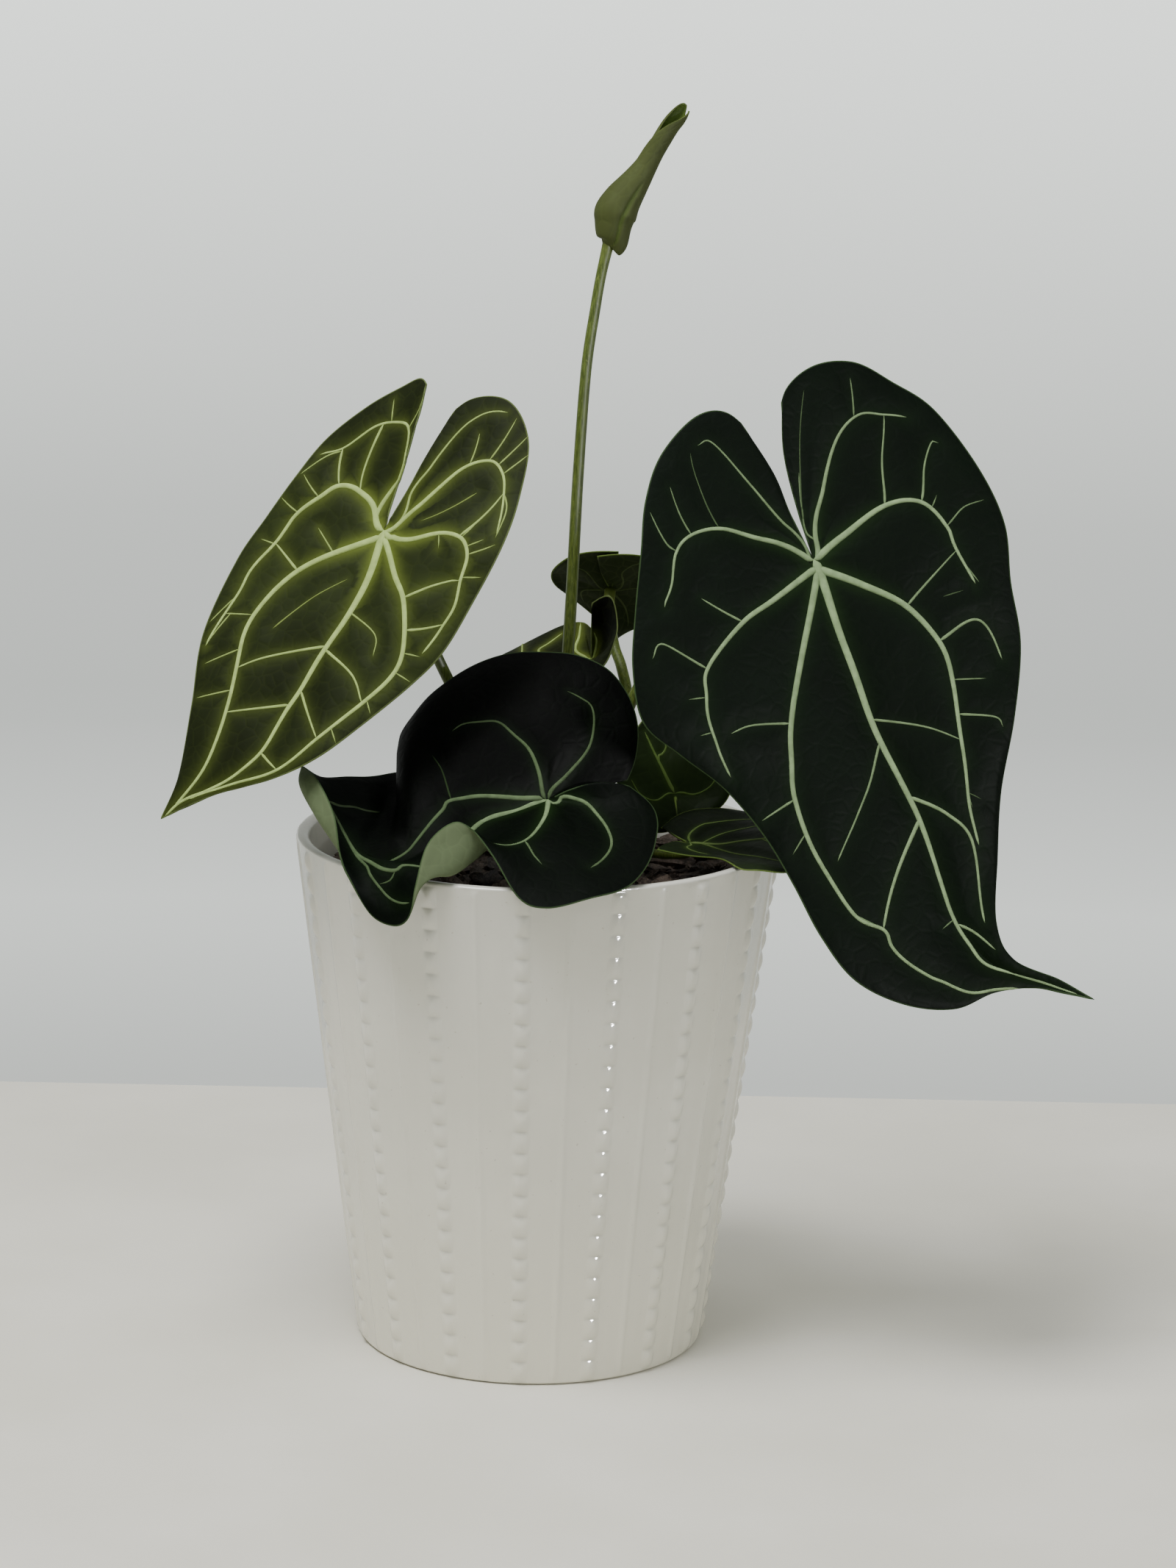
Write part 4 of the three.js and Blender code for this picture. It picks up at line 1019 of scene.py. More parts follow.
def make_blade(
    name, leaf, veins, finish, rows, rings, glow=2.0, quilt=0.45, rise=0.4, shade=None, fade=0,
):
    """A blade on a grid of stations and columns, lifted between its veins by
    quilt, thickened, with its veins as raised ridges in the same piece. Away
    from the heart the veins' paleness fades by the share fade, a painted shade.
    The share shade darkens the upper face, also painted shade."""
    stations = even_stations(leaf, rows)
    half = np.concatenate([np.linspace(0, 0.975, rings - 2), [0.988, 1]])
    columns = np.concatenate([-half[:0:-1], half])
    station, across = np.meshgrid(stations, columns, indexing="ij")
    grid = blade_point(leaf, station, across)
    shape = grid.shape[:2]
    index = np.arange(grid.size // 3).reshape(shape)
    centre = len(half) - 1
    index[0, :] = index[0, 0]
    index[stations >= 1, centre] = index[np.argmax(stations >= 1), centre]
    faces = grid_faces(index)
    flat = grid.reshape(-1, 3)
    lines = []
    sight = blade_sight(leaf)
    for vein in veins:
        lines.append(vein_line(lines, vein, leaf, sight, VEIN_SPACING))
    spots = np.concatenate([blade_point(leaf, line[:, 0], line[:, 1]) for line in lines])
    widths = np.concatenate([line[:, 2] for line in lines])
    strengths = np.concatenate([line[:, 3] for line in lines])
    distance, number = nearest(flat, spots)
    away = np.maximum(distance - widths[number], 0)
    normals = point_normals(flat, faces)
    calm = step_up(1 - np.abs(across.ravel()), 0.0, 0.12) * step_up(station.ravel(), 0.0, 0.12)
    lift = quilt * (1 - np.exp(-((away / 3.5) ** 2))) * calm + 0.15 * ripple(flat, 14, 3) * calm
    flat = flat + normals * lift[:, None]
    flat = flat[index.ravel()]
    normals = point_normals(flat, faces)[index.ravel()]
    edge_lines = [blade_point(leaf, stations, side + 0 * stations) for side in (-1.0, 1.0)]
    margin = np.minimum(*(nearest(flat, line)[0] for line in edge_lines))
    closed = stations[-1]
    sinus = np.concatenate([
        blade_point(leaf, np.full(60, closed), np.linspace(0.12, 1, 60) * sign) for sign in (-1, 1)
    ])
    margin = np.minimum(margin, nearest(flat, sinus)[0])
    thin = 0.45 + 0.55 * step_up(1 - np.abs(across.ravel()), 0, 0.03)
    sheet, sheet_faces = thicken(flat, normals, faces, BLADE_THICKNESS * thin)
    ridges, ridge_faces, crest, rank, under = vein_tubes(
        lines, flat.reshape(*shape, 3), normals.reshape(*shape, 3), stations, columns,
        BLADE_THICKNESS, rise,
    )
    points = np.concatenate([sheet, ridges])
    all_faces = np.concatenate([sheet_faces, ridge_faces + len(sheet)])
    from_heart = np.linalg.norm(flat - np.array(leaf["heart"]), axis=1)
    near_heart = np.exp(-((from_heart / HALO_REACH) ** 2))
    halo = np.exp(-((away / (glow * (0.35 + 0.65 * strengths[number]))) ** 1.3)) * strengths[number]
    halo = halo * (0.32 + 0.68 * near_heart)
    # painted shade on the upper face, from shade
    painted_shade = (shade(station, across) if shade else 0 * station).ravel()
    local = (points - np.array(leaf["heart"])) @ leaf_axes(leaf["heading"]).T
    reach = np.linalg.norm(local[len(sheet):], axis=1)
    # painted shade: the veins' paleness dims away from the heart by the share fade
    pale = 1 - fade * (1 - np.exp(-((reach / PALE_REACH) ** 2)))
    count = len(flat)
    values = {
        "halo": np.concatenate([halo, halo * 0, np.ones(len(ridges))]),
        "vein": np.concatenate([np.zeros(2 * count), step_up(crest, -0.1, 0.4) * rank * pale]),
        "below": np.concatenate([np.zeros(count), np.ones(count), under]),
        "shade": np.concatenate([painted_shade, painted_shade * 0, np.zeros(len(ridges))]),
        "margin": np.concatenate([margin, margin, np.full(len(ridges), 9.0)]),
        "leaf_place": local * MM,
    }
    used = np.unique(all_faces)
    renumber = np.zeros(len(points), int)
    renumber[used] = np.arange(len(used))
    values = {key: value[used] for key, value in values.items()}
    make_piece(f"leaf_{name}", points[used], renumber[all_faces], finish, values, [f"blade_{name}"])


# Stalks
# Each stalk is its leaf, its radii at foot and top, how far below the blade its
# last free point is, and its path. The top of the furled leaf's stalk follows edges
# that were measured on the photograph outside this file.
STALKS = {
    "left": (LEFT_LEAF, [2, 1.5], 6, [
        [-3, 4, 126], [-3, 4, 136], [-8, 3, 155], [-18, 3, 173], [-27, 3, 190], [-34, 1, 206],
        [-38.5, -3.5, 219],
    ]),
    "front": (FRONT_LEAF, [2, 1.4], 5, [[6, -5, 126], [6, -5, 135], [6, -9, 144], [5, -17, 151]]),
    "right": (RIGHT_LEAF, [2, 1.5], 5, [
        [12.4, -2.4, 126], [12.4, -2.4, 135], [17, -4, 155], [23, -5, 178], [36, 0, 203],
        [55, 3, 217], [68, 1, 221.5],
    ]),
    "middle": (MIDDLE_LEAF, [1.9, 1.3], 4, [
        [2.9, 12.5, 126], [2.9, 12.5, 135], [4, 15, 150], [8, 21, 166], [13, 28, 178],
    ]),
    "low": (LOW_LEAF, [1.8, 1.2], 2.5, [
        [14.9, 2.4, 126], [14.9, 2.4, 134], [18, 1, 139], [27, -4, 141], [36, -9.5, 141.5],
    ]),
    "upright": (UPRIGHT_LEAF, [1.8, 1.2], 2.5, [
        [14.2, 7.8, 126], [14.2, 7.8, 134], [18, 10, 143], [27, 14, 149], [34, 16, 151.5],
    ]),
    "back": (BACK_LEAF, [2, 1.6], 4, [
        [10.5, 11.8, 126], [10.5, 11.8, 135], [16, 15, 152], [22, 21, 168], [24.2, 26.5, 178],
        [22.6, 31, 186], [20.5, 36, 191], [19.3, 39.5, 197],
    ]),
    "furled": (None, [2.05, 1.6], 0, [
        [6, 4, 138.4], [6.2, 3, 153], [6.5, 2, 171], [7.2, 3.5, 190], [8.2, 6.5, 215],
        [9.3, 9, 245], [10.9, 10, 273], [13.1, 11, 290], [14.5, 11.6, 299], [16.1, 12, 306.5],
        [16.7, 12.2, 309.5],
    ]),
}


STALK_SIDES = 20


def make_stalk(name, finish):
    """A tapered round stalk along its path, with a shallow groove on one side
    and a slight swelling at the joint below the blade and at its foot."""
    leaf, radii, reach, path = STALKS[name]
    path = list(path)
    if leaf:
        lift = leaf_axes(leaf["heading"])[2]
        for distance in (reach, 0.1):
            path.append(list(np.array(leaf["heart"]) - lift * (CAD_BLADE_THICKNESS / 2 + distance)))
    t = np.linspace(0, 1, 600)
    fine = curve_point(path, t)
    length = arc_lengths(fine)
    count = int(length[-1] / 1.2)
    share = np.linspace(0, 1, count)
    centre = curve_point(path, np.interp(share * length[-1], length, t))
    _, side, front = path_frames(centre)
    from_foot, from_top = share * length[-1], (1 - share) * length[-1]
    radius = radii[0] + (radii[1] - radii[0]) * share
    joint = np.exp(-((from_top / 6) ** 2))
    foot = np.exp(-(((from_foot - 6) / 8) ** 2))
    radius = radius * (0.93 + 0.1 * joint + 0.08 * foot)
    turn = np.linspace(0, 2 * math.pi, STALK_SIDES, endpoint=False)
    groove = 1 - 0.1 * np.exp(-(((turn - math.pi / 2) / 0.5) ** 2))[None, :] * (1 - joint[:, None])
    reach_out = radius[:, None] * groove
    rings = (
        centre[:, None]
        + side[:, None] * (reach_out * np.cos(turn))[..., None]
        + front[:, None] * (reach_out * np.sin(turn))[..., None]
    )
    points, faces = ring_body(rings)
    values = {
        "joint": np.append(np.repeat(joint, STALK_SIDES), [0, 1]) * 0.7,
        "foot": np.append(np.repeat(np.exp(-((from_foot / 14) ** 2)), STALK_SIDES), [1, 0]) * 0.8,
    }
    make_piece(f"stalk_{name}", points, faces, finish, values, [f"petiole_{name}"])


# Furled leaf
# Each section is [x, y, z, radius, turns, angle of the outer margin]. Angle 0
# is the right of the leaf's axis, 90 its back and 270 its front.
FURLED_SECTIONS = [
    [16.4, 12, 307.3, 1.7, 1.15, 150],
    [17.2, 12.3, 308.9, 3.9, 1.15, 150],
    [17.8, 12.9, 313.2, 5.2, 1.2, 150],
    [18.4, 13.4, 315.9, 5.9, 1.2, 150],
    [20.1, 14.2, 319.3, 5.3, 1.2, 152],
    [22.6, 15.1, 322.9, 4.4, 1.2, 155],
    [24.6, 15.8, 325.8, 3.7, 1.2, 160],
    [26.5, 16.5, 328.8, 3.1, 1.15, 172],
    [28.3, 17.2, 332.2, 2.85, 1.1, 190],
    [30.3, 18, 335.9, 2.85, 1, 222],
    [32.5, 18.8, 339.5, 2.75, 0.85, 260],
    [34.4, 19.4, 341.9, 2.6, 0.75, 292],
    [36, 19.9, 344, 2, 0.6, 330],
    [37, 20.1, 345.3, 1.1, 0.5, 350],
]
FURLED_PITCH = 0.75


def hump(value, middle, width):
    """A bell: e to the minus square of the distance from the middle, over width."""
    return np.exp(-(((value - middle) / width) ** 2))


def make_furled(finish):
    """The young leaf, one sheet wound round its own axis: at each height a
    spiral that starts at the outer margin and draws in by a fixed pitch for
    each turn. Its top is notched between the outer prong and the back, a
    crease runs up its front, and its base hangs in a lobe on the right."""
    share = np.linspace(0, 1, 100)[None, :]
    top = 1 - 0.07 * hump(share, 0, 0.12) - 0.19 * hump(share, 0.27, 0.1)
    top = top - 0.05 * np.clip((share - 0.7) / 0.3, 0, 1) ** 2
    t = np.linspace(0, 1, 140)[:, None] * top
    section = curve_point(FURLED_SECTIONS, t)
    centre, radius, turns = section[..., :3], section[..., 3], section[..., 4]
    axis = curve_point(FURLED_SECTIONS, np.linspace(0, 1, 200))[:, :3]
    slope = unit(np.gradient(axis, axis=0))
    tangent = unit(np.stack([np.interp(t, np.linspace(0, 1, 200), slope[:, i]) for i in range(3)], -1))
    side = unit(np.cross([0, 1, 0], tangent))
    front = np.cross(tangent, side)
    wound = turns * share
    degrees = section[..., 5] + 360 * wound
    angle = np.radians(degrees)
    crease = hump(degrees, 291, 7) * step_up(t, 0.0, 0.08) * step_up(-t, -0.46, -0.34)
    lobe = hump(degrees, 345, 34) * hump(t, 0, 0.09)
    ribs = 0.03 * np.cos(degrees / 14) * np.sin(math.pi * t)
    reach = radius - FURLED_PITCH * wound - 0.7 * crease + 2.2 * lobe + ribs
    grid = (
        centre
        + side * (reach * np.cos(angle))[..., None]
        + front * (reach * np.sin(angle))[..., None]
        - tangent * (0.9 * lobe)[..., None]
    )
    index = np.arange(grid.size // 3).reshape(grid.shape[:2])
    faces = grid_faces(index)
    flat = grid.reshape(-1, 3)
    normals = point_normals(flat, faces)
    points, faces = thicken(flat, normals, faces, 0.45)
    count = len(flat)
    edge = np.minimum(wound, turns - wound) * 2 * math.pi * radius
    place = np.stack(np.broadcast_arrays(wound * 30, t * 45, 0 * wound), -1).reshape(-1, 3) * MM
    values = {
        "halo": np.zeros(2 * count),
        "vein": np.zeros(2 * count),
        "below": np.concatenate([1 - 0.75 * crease.ravel(), np.zeros(count)]),
        "margin": np.tile(edge.ravel(), 2),
        "shade": np.zeros(2 * count),
        "leaf_place": np.tile(place, (2, 1)),
    }
    make_piece("leaf_furled", points, faces, finish, values, ["blade_furled"])


# Veins
# Each vein is its half width at its foot and at its end, its path, and how
# strongly it shows. A path's point is a blade place [station, across], or,
# where the photograph shows the vein, the pixel (x, y) read there on an
# enlarged crop.
LEFT_VEINS = {
    "midrib": (1.45, 0.35, [
        [1, 0], (503, 783), (469, 846), (440, 888), (410, 939), (385, 977), (356, 1023), (330, 1048),
        (297, 1069), (242, 1094), [0.03, 0],
    ], 1.0),
    "right lower": (1.0, 0.4, [
        [0.98, 0], (453, 754), (402, 779), (345, 838), (324, 897), (307, 970), (265, 1065), [0.1, -0.4],
    ], 1.0),
    "right middle": (1.0, 0.3, [
        [1.37, 0], (511, 699), (490, 669), (461, 661), (436, 676), (406, 699), (377, 737), (343, 775),
        (322, 812), (280, 880),
    ], 1.0),
    "right lobe": (0.75, 0.25, [
        [1.9, 0], [1.9, -0.36], [1.88, -0.54], (556, 581), (537, 575), (511, 581), (469, 610), (436, 619),
    ], 0.85),
    "left lower": (0.95, 0.3, [
        [0.97, 0], (526, 741), (537, 783), (549, 817), (551, 867), (539, 913), (495, 956), (431, 1006),
        (368, 1052), (309, 1069), [0.11, 0.4],
    ], 1.0),
    "left middle": (0.9, 0.3, [
        [1.08, 0], (537, 732), (587, 728), (623, 730), (636, 754), (627, 791), (619, 825), (600, 855),
        [0.8, 0.87],
    ], 1.0),
    "left lobe": (0.85, 0.25, [
        [1.4, 0], [1.4, 0.13], (579, 682), (621, 644), (663, 627), (684, 644), (686, 674), [1.2, 0.92],
    ], 0.95),
    "left sinus": (0.5, 0.2, [
        [1.72, 0], [1.7, 0.23], (587, 636), (621, 591), (655, 566), (692, 562),
    ], 0.7),
}
LEFT_LINKS = [
    [(436, 876), (362, 895), (326, 907)], [(385, 951), (309, 970)], [(448, 886), (478, 918), (495, 956)],
    [(413, 941), (429, 1006)], [(356, 1023), (375, 1046)], [(402, 775), (379, 743)],
    [(551, 812), (587, 798), (625, 789)], [(556, 857), (600, 850)], [(469, 615), (463, 661)],
    [(524, 585), (495, 665)], [(625, 728), (684, 671)],
]
LEFT_FINE = [
    [(533, 574), (537, 544)], [(557, 583), (576, 544)], [(435, 674), (414, 645)], [(405, 698), (384, 677)],
    [(377, 741), (356, 734)], [(313, 835), (345, 837)], [(313, 835), (281, 877)], [(324, 882), (279, 903)],
    [(305, 939), (268, 950)], [(467, 612), (444, 621), (409, 645)], [(322, 811), (285, 847)],
    [(666, 625), (704, 570)], [(640, 632), (653, 591)], [(678, 632), (722, 593)], [(687, 645), (720, 619)],
    [(685, 672), (689, 694), (674, 732)], [(627, 732), (649, 711)], [(638, 741), (659, 734)],
    [(640, 753), (674, 741)], [(629, 788), (655, 786)], [(550, 888), (572, 894)], [(537, 916), (559, 929)],
    [(503, 954), (505, 971)], [(456, 997), (458, 1012)], [(486, 839), (510, 862), (508, 894)],
    [(452, 751), (433, 719)], [(597, 732), (597, 747)],
]
LEFT_FAINT = [[(371, 856), (414, 822), (473, 788)], [[1.38, 0.68], [1.34, 0.5], [1.3, 0.3]]]
RIGHT_VEINS = {
    "midrib": (1.35, 0.35, [
        [1, 0], (1116, 783), (1143, 862), (1167, 929), (1191, 995), (1228, 1068), (1258, 1135),
        (1288, 1225), (1319, 1286), (1349, 1316), (1422, 1338), [0.04, 0],
    ], 1.0),
    "right lower": (1.05, 0.35, [
        [0.985, 0], (1110, 789), (1097, 862), (1082, 947), (1076, 1026), (1082, 1092), (1107, 1159),
        (1161, 1244), (1203, 1265), (1216, 1292), (1264, 1328), (1300, 1344), (1385, 1344),
    ], 0.9),
    "right middle": (1.0, 0.3, [
        [0.99, 0], (1100, 780), (1052, 817), (1010, 850), (964, 910), (961, 953), (973, 1007), (994, 1056),
    ], 0.9),
    "right lobe": (0.95, 0.25, [
        [1.37, 0], (1088, 753), (1028, 732), (982, 720), (940, 729), (919, 753), (913, 795), (904, 826),
    ], 0.85),
    "right sinus": (0.5, 0.2, [
        [1.72, 0], (1097, 747), (1064, 710), (1022, 662), (970, 604), (949, 607),
    ], 0.6),
    "left lower": (1.15, 0.35, [
        [0.985, 0], (1119, 777), (1173, 795), (1234, 826), (1279, 874), (1297, 929), (1306, 995),
        (1316, 1068), (1319, 1101), [0.5, 0.62],
    ], 0.95),
    "left middle": (1.1, 0.35, [
        [1.18, 0], (1119, 753), (1155, 723), (1203, 689), (1252, 683), (1288, 717), (1300, 747),
        (1328, 795),
    ], 0.95),
    "left lobe": (0.8, 0.25, [
        [1.61, 0], (1110, 735), (1119, 668), (1137, 601), (1167, 565), (1203, 565), (1234, 568),
    ], 0.8),
    "left sinus": (0.35, 0.15, [[1.83, 0], (1100, 729), (1091, 692), (1087, 644)], 0.5),
    "strong link": (0.6, 0.35, [(1243, 1116), (1222, 1183), (1203, 1262)], 0.9),
    "left near tip": (0.55, 0.3, [
        (1240, 1080), (1288, 1107), (1322, 1144), (1334, 1219), (1340, 1256),
    ], 0.85),
    "left at tip": (0.45, 0.25, [[0.4, -0.03], [0.34, 0.3], [0.28, 0.55]], 0.8),
    "left outer": (0.5, 0.25, [(1282, 871), (1331, 844), (1364, 898)], 0.75),
}
RIGHT_LINKS = [
    [(1200, 686), (1200, 626), (1203, 571)], [(1252, 683), (1258, 638), (1267, 604), (1276, 604)],
    [(1234, 823), (1270, 783), (1297, 750)], [(1306, 971), (1355, 977), (1364, 989)],
    [(1188, 977), (1258, 989), (1303, 1007)], [(1188, 1013), (1185, 1062), (1167, 1110), (1140, 1171)],
    [(1073, 983), (1022, 986), (994, 998)], [(1010, 844), (955, 814)], [(958, 910), (901, 877), (888, 898)],
    [(1076, 1089), (1037, 1116)],
]
RIGHT_FINE = [
    [(940, 725), (912, 663)], [(920, 751), (906, 739), (884, 697)], [(957, 949), (937, 951)],
    [(1162, 566), (1156, 515)], [(1292, 714), (1309, 691), (1338, 680)], [(1270, 691), (1275, 674)],
    [(1315, 765), (1332, 793)], [(1298, 927), (1341, 924)], [(1309, 1049), (1318, 1083), (1323, 1100)],
    [(1162, 1245), (1201, 1262)], [(966, 998), (953, 1001)], [(1094, 1134), (1079, 1162)],
    [(1292, 1253), (1281, 1264)],
]
RIGHT_FAINT = [
    [(980, 714), (954, 668), (940, 617)], [(1096, 720), (1088, 646), (1094, 532)],
    [[0.6, 0.53], [0.57, 0.7]], [[0.9, 0.6], [0.9, 0.72]],
]
FRONT_VEINS = {
    "midrib": (0.9, 0.4, [
        [1, 0], (727, 1093), (704, 1103), (660, 1117), [0.74, 0.1], [0.66, 0.25], [0.58, 0.32],
        (549, 1178), (539, 1184), (520, 1182), (497, 1170), (476, 1148), (461, 1122), [0.1, 0], [0.03, 0],
    ], 0.85),
    "right lower": (0.8, 0.35, [
        [0.985, 0], (733, 1086), (704, 1086), (654, 1083), (629, 1087), (609, 1092), (601, 1103),
        (578, 1131), (561, 1151), (544, 1165), [0.48, -0.03],
    ], 0.6),
    "right branch": (0.3, 0.15, [(609, 1083), (601, 1050), (588, 1027)], 0.15),
    "right middle": (0.7, 0.2, [
        [0.99, 0], (738, 1078), (733, 1052), (721, 1021), (699, 999), (679, 982), (654, 982), (629, 986),
        (615, 996),
    ], 0.45),
    "right lobe": (0.65, 0.2, [
        [1.3, 0], (761, 1064), (783, 1041), (800, 1019), (807, 991), (805, 963), (789, 949), (772, 940),
    ], 0.4),
    "left middle": (0.8, 0.3, [
        [1, 0], (745, 1094), (741, 1114), (718, 1142), (693, 1151), [0.87, 0.72],
    ], 0.8),
    "left branch": (0.4, 0.2, [(718, 1145), (727, 1165), (737, 1176)], 0.6),
    "left lobe": (0.65, 0.3, [
        [1.8, 0], [1.8, 0.12], (787, 1088), (811, 1106), (826, 1127), (832, 1150), (820, 1170), (803, 1181),
    ], 0.6),
    "flap": (0.5, 0.3, [[0.11, 0], (453, 1094), (476, 1098), (497, 1103), (517, 1106)], 0.8),
    "spout": (0.5, 0.3, [
        (461, 1122), (476, 1149), (497, 1176), (505, 1191), (516, 1207), (533, 1224), (558, 1228),
    ], 0.7),
    "spout branch": (0.35, 0.2, [(539, 1184), (532, 1197), (517, 1203)], 0.6),
}
MIDDLE_VEINS = {
    "midrib": (0.7, 0.25, [[1, 0], [0.7, 0], [0.4, 0], [0.03, 0]], 0.9),
    "right lobe": (0.6, 0.25, [[0.98, 0], (783, 885), (788, 867), (790, 848)], 0.9),
    "right middle": (0.55, 0.2, [[0.7, 0], (733, 887), (747, 876), (765, 862)], 0.8),
    "right lower": (0.4, 0.2, [[0.45, 0], (709, 872), [0.52, -0.9]], 0.7),
    "left lobe": (0.5, 0.2, [[1.54, 0], (809, 890), (812, 873), (808, 860)], 0.8),
    "left middle": (0.5, 0.2, [[0.98, 0], [0.9, 0.3], [0.75, 0.6], [0.5, 0.8]], 0.7),
    "left lower": (0.4, 0.2, [[0.6, 0], [0.5, 0.4], [0.35, 0.75]], 0.7),
}
LOW_VEINS = {
    "midrib": (0.6, 0.25, [[1, 0], (976, 1149), (1003, 1146), (1035, 1142), [0.3, -0.05], [0.03, 0]], 0.6),
    "left lobe": (0.4, 0.15, [
        [1.6, 0], (937, 1142), (947, 1127), (965, 1121), (994, 1117), [0.5, 0.8],
    ], 0.35),
    "right middle": (0.45, 0.2, [[0.97, 0], (955, 1148), (990, 1160), (1030, 1166), [0.4, -0.75]], 0.4),
    "left middle": (0.35, 0.15, [[0.9, 0], [0.8, 0.25], [0.6, 0.45], [0.4, 0.6]], 0.5),
    "right lobe": (0.35, 0.15, [[1.5, 0], [1.5, -0.3], [1.3, -0.6], [1.1, -0.75]], 0.6),
    "right tip": (0.3, 0.15, [[0.52, -0.08], [0.38, -0.4], [0.25, -0.65]], 0.6),
}
UPRIGHT_VEINS = {
    "midrib": (0.6, 0.25, [[1, 0], (912, 1069), (898, 1040), (885, 1013), [0.3, 0.6]], 0.25),
    "branch": (0.4, 0.2, [(898, 1040), (896, 1028), (906, 1016), [0.2, -0.2]], 0.25),
    "left": (0.35, 0.15, [[1.3, 0], [1.3, 0.3], [1.15, 0.6], [0.95, 0.75]], 0.12),
    "right": (0.35, 0.15, [[1.3, 0], [1.3, -0.3], [1.15, -0.6], [0.95, -0.75]], 0.12),
}
BACK_VEINS = {
    "midrib": (0.5, 0.2, [[1, 0], [0.7, 0], [0.3, 0], [0.03, 0]], 0.8),
    "left lobe": (0.45, 0.15, [[1.3, 0], [1.4, 0.3], (797, 777), [1.45, 0.8]], 0.7),
    "right lobe": (0.45, 0.15, [[1.6, 0], [1.6, -0.4], [1.62, -0.7], [1.5, -0.88]], 0.7),
    "left middle": (0.45, 0.15, [[1.0, 0], [0.99, 0.3], [0.95, 0.54], [0.75, 0.75]], 0.7),
    "right lower": (0.45, 0.15, [[0.99, 0], [0.8, -0.2], [0.54, -0.42], [0.4, -0.6]], 0.7),
    "right middle": (0.35, 0.15, [[1.1, 0], [1.15, -0.3], [1.1, -0.6], [0.95, -0.8]], 0.6),
}


def thin_veins(paths, width, strength):
    """Thin veins, one for each path, tapering to half their width."""
    return [(width, width * 0.5, path, strength) for path in paths]


# The pieces together
olive_leaf = blade_finish("leaf_olive", [
    (36, 43, 19), (86, 98, 38), (160, 180, 110), (96, 106, 72), (92, 104, 62),
], 0.5, 0.06)
dark_leaf = blade_finish("leaf_dark", [
    (5, 14, 5), (20, 38, 12), (136, 158, 116), (92, 104, 76), (56, 74, 46),
], 0.5, 0.045)
bright_leaf = blade_finish("leaf_bright", [
    (26, 38, 15), (54, 76, 26), (128, 148, 88), (40, 50, 26), (98, 118, 56),
], 0.45, 0.1)
young_leaf = blade_finish("leaf_young", [
    (92, 112, 50), (96, 112, 52), (110, 126, 70), (66, 73, 38), (72, 82, 40),
], 0.5, 0.1)
stalk_green = stalk_finish()

make_pot()
make_mix()
make_crown()
left_veins = [
    *LEFT_VEINS.values(), *thin_veins(LEFT_LINKS, 0.46, 0.85), *thin_veins(LEFT_FINE, 0.3, 0.6),
    *thin_veins(LEFT_FAINT, 0.24, 0.3),
]
right_veins = [
    *RIGHT_VEINS.values(), *thin_veins(RIGHT_LINKS, 0.4, 0.66), *thin_veins(RIGHT_FINE, 0.3, 0.5),
    *thin_veins(RIGHT_FAINT, 0.25, 0.22),
]
# Where a blade is given shade below, it is painted shade on its upper face.
make_blade(
    "left", LEFT_LEAF, left_veins, olive_leaf, 240, 56,
    shade=lambda station, across: 0.4 * step_up(np.abs(station - 0.95), 0.15, 0.5),
)
make_blade("right", RIGHT_LEAF, right_veins, dark_leaf, 250, 56)
# The front leaf carries painted shade on its upper face and on its veins.
make_blade(
    "front", FRONT_LEAF, FRONT_VEINS.values(), dark_leaf, 260, 50,
    shade=lambda station, across: 0.6 + 0.38 * step_up(-across, -0.2, 0.1) * step_up(station, 0.25, 0.5),
    fade=0.65,
)
make_blade(
    "middle", MIDDLE_LEAF, MIDDLE_VEINS.values(), olive_leaf, 110, 26, glow=1.4,
    shade=lambda station, across: 0.5 + 0.42 * step_up(across, 0.05, 0.3) * step_up(station, 0.9, 1.3),
)
make_blade(
    "low", LOW_LEAF, LOW_VEINS.values(), bright_leaf, 110, 26, glow=1.2,
    shade=lambda station, across: 0.6 * step_up(across, -0.2, 0.1),
)
make_blade("upright", UPRIGHT_LEAF, UPRIGHT_VEINS.values(), bright_leaf, 90, 24, glow=1.2)
make_blade("back", BACK_LEAF, BACK_VEINS.values(), bright_leaf, 100, 24, glow=1.2)
make_furled(young_leaf)
for stalk_name in STALKS:
    make_stalk(stalk_name, stalk_green)


# Stage, light and camera
def make_stage():
    """A pale table top that ends a little behind the pot."""
    x, y = np.meshgrid(np.linspace(-2500, 2500, 41), np.linspace(-2500, 235, 31))
    points = np.stack([x, y, 0 * x - 0.05], -1).reshape(-1, 3)
    faces = grid_faces(np.arange(x.size).reshape(x.shape))
    mesh = bpy.data.meshes.new("table_top")
    mesh.from_pydata((points * MM).tolist(), [], faces.tolist())
    cloth = Finish("pale_cloth")
    place = cloth.place()
    tone = cloth.rise(cloth.noise(place, 9, 4), 0.3, 0.7)
    base = cloth.mix(tone, rgb(212, 209, 196), rgb(222, 219, 208))
    weave = cloth.noise(place, 900, 2)
    weave_bump = cloth.bump(weave, 0.0002, 0.3)
    mesh.materials.append(cloth.set(Base_Color=base, Roughness=0.85 + 0.1 * tone, Normal=weave_bump))
    table = bpy.data.objects.new("table_top", mesh)
    bpy.context.scene.collection.objects.link(table)


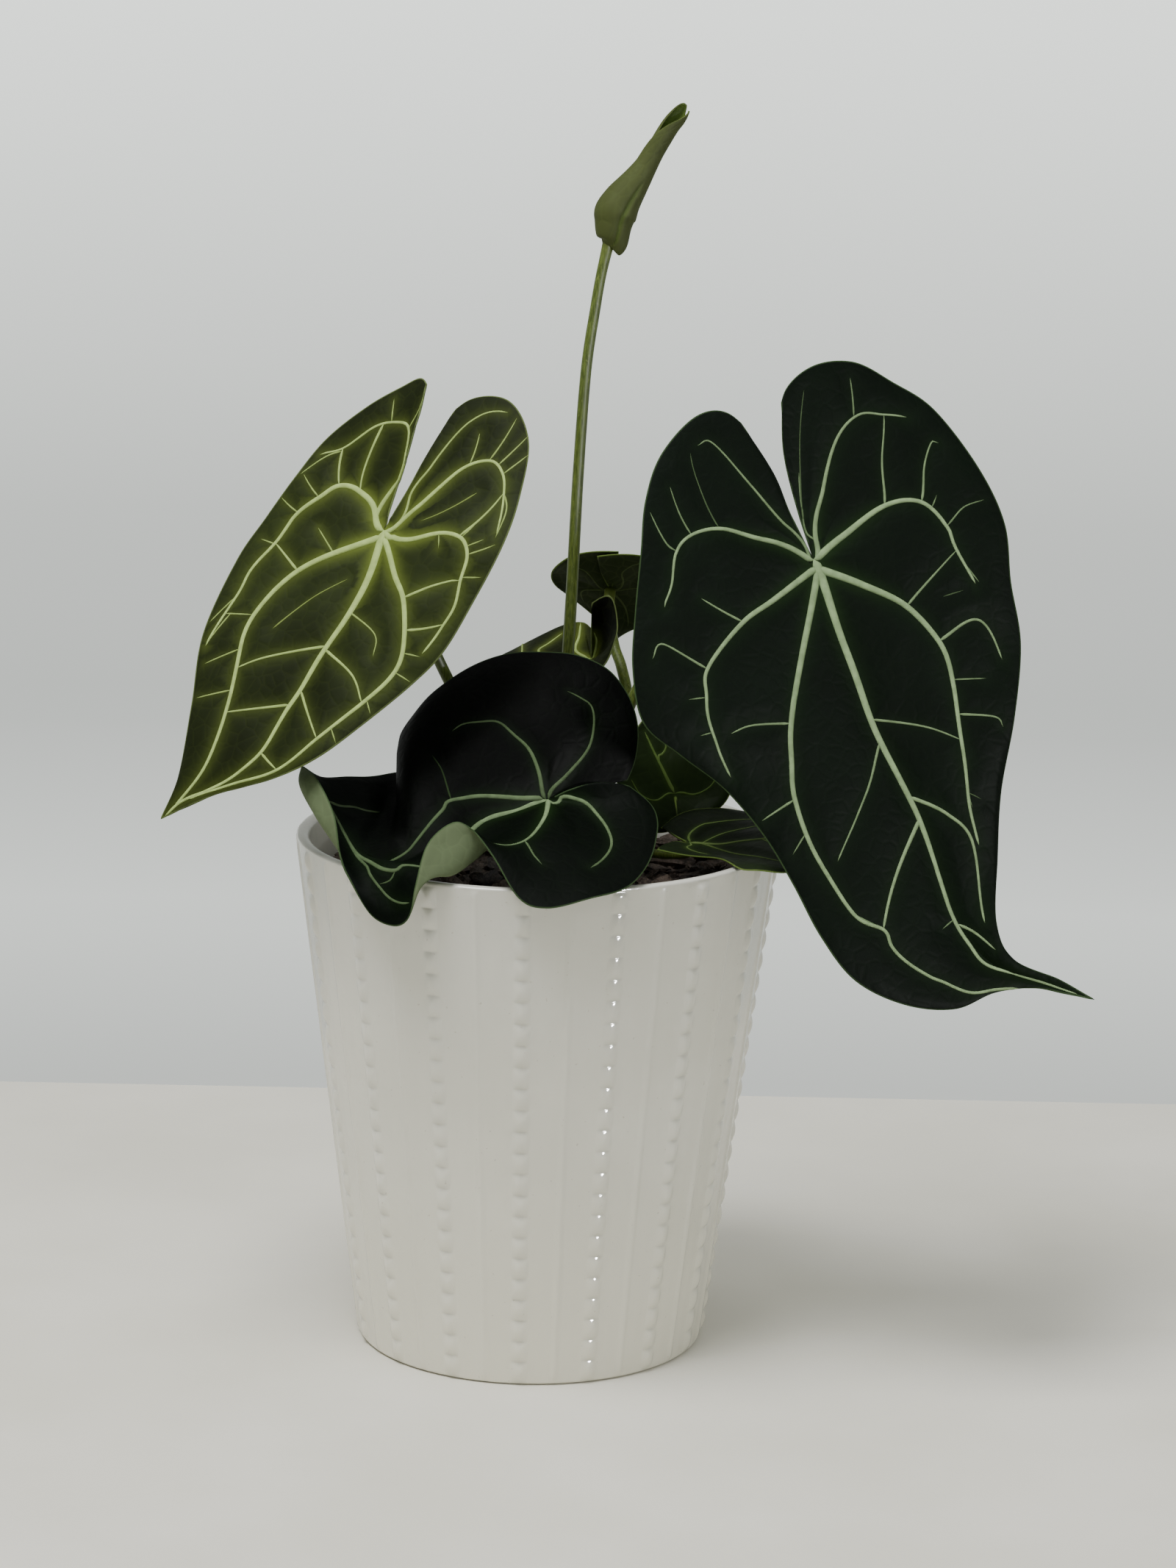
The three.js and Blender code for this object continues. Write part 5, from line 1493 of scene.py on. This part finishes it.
def make_world():
    """A pale wall of light: a soft grey gradient with height."""
    world = bpy.data.worlds.new("pale_wall")
    bpy.context.scene.world = world
    world.use_nodes = True
    tree = world.node_tree
    background = tree.nodes["Background"]
    background.inputs["Strength"].default_value = 1.75
    place = tree.nodes.new("ShaderNodeTexCoord")
    split = tree.nodes.new("ShaderNodeSeparateXYZ")
    tree.links.new(place.outputs["Generated"], split.inputs[0])
    ramp = tree.nodes.new("ShaderNodeValToRGB")
    shift = tree.nodes.new("ShaderNodeMath")
    shift.operation = "MULTIPLY_ADD"
    shift.inputs[1].default_value, shift.inputs[2].default_value = 0.5, 0.5
    tree.links.new(split.outputs[2], shift.inputs[0])
    tree.links.new(shift.outputs[0], ramp.inputs[0])
    stops = [
        (0.0, 0.3), (0.36, 0.44), (0.378, 0.6), (0.4, 0.42), (0.421, 0.47), (0.446, 0.66), (0.48, 0.95),
        (0.505, 0.3), (1.0, 0.12),
    ]
    elements = ramp.color_ramp.elements
    while len(elements) < len(stops):
        elements.new(0.5)
    for element, (place_at, grey) in zip(elements, stops):
        element.position, element.color = place_at, (grey * 0.955, grey, grey * 0.955, 1)
    tree.links.new(ramp.outputs[0], background.inputs["Color"])


def area_light(name, place, target, size, power):
    """A soft rectangular light at place, facing target."""
    light = bpy.data.lights.new(name, "AREA")
    light.shape, light.size, light.size_y = "RECTANGLE", size[0], size[1]
    light.energy = power
    lamp = bpy.data.objects.new(name, light)
    bpy.context.scene.collection.objects.link(lamp)
    back = unit(np.array(place, float) - np.array(target, float))
    side = unit(np.cross([0, 1, 0.01], back))
    up = np.cross(back, side)
    rows = [[side[i], up[i], back[i], place[i]] for i in range(3)]
    lamp.matrix_world = Matrix(rows + [[0, 0, 0, 1]])
    return lamp


def make_camera():
    """The photograph's camera, with the lens that gives its field of view."""
    right, up, forward = camera_axes()
    place = CAMERA_PLACE * MM
    camera = bpy.data.objects.new("camera", bpy.data.cameras.new("camera"))
    camera.data.sensor_width, camera.data.lens = 36, 36 * FOCAL_PIXELS / PHOTO_HEIGHT
    rows = [[right[i], up[i], -forward[i], place[i]] for i in range(3)]
    camera.matrix_world = Matrix(rows + [[0, 0, 0, 1]])
    bpy.context.scene.collection.objects.link(camera)
    bpy.context.scene.camera = camera


make_stage()
make_world()
area_light("overhead", (-0.1, 0.0, 1.5), (0, 0, 0.1), (1.8, 1.6), 12)
area_light("key", (-0.35, -0.45, 1.45), (0, 0, 0.05), (0.6, 0.6), 22)
area_light("side", (0.9, -0.6, 1.0), (0, 0, 0.1), (0.5, 0.5), 1.5)
glint = area_light("glint", (0.95, -1.15, 0.4), (0, 0, 0.1), (0.05, 0.26), 40)
glint.visible_diffuse = False
make_camera()
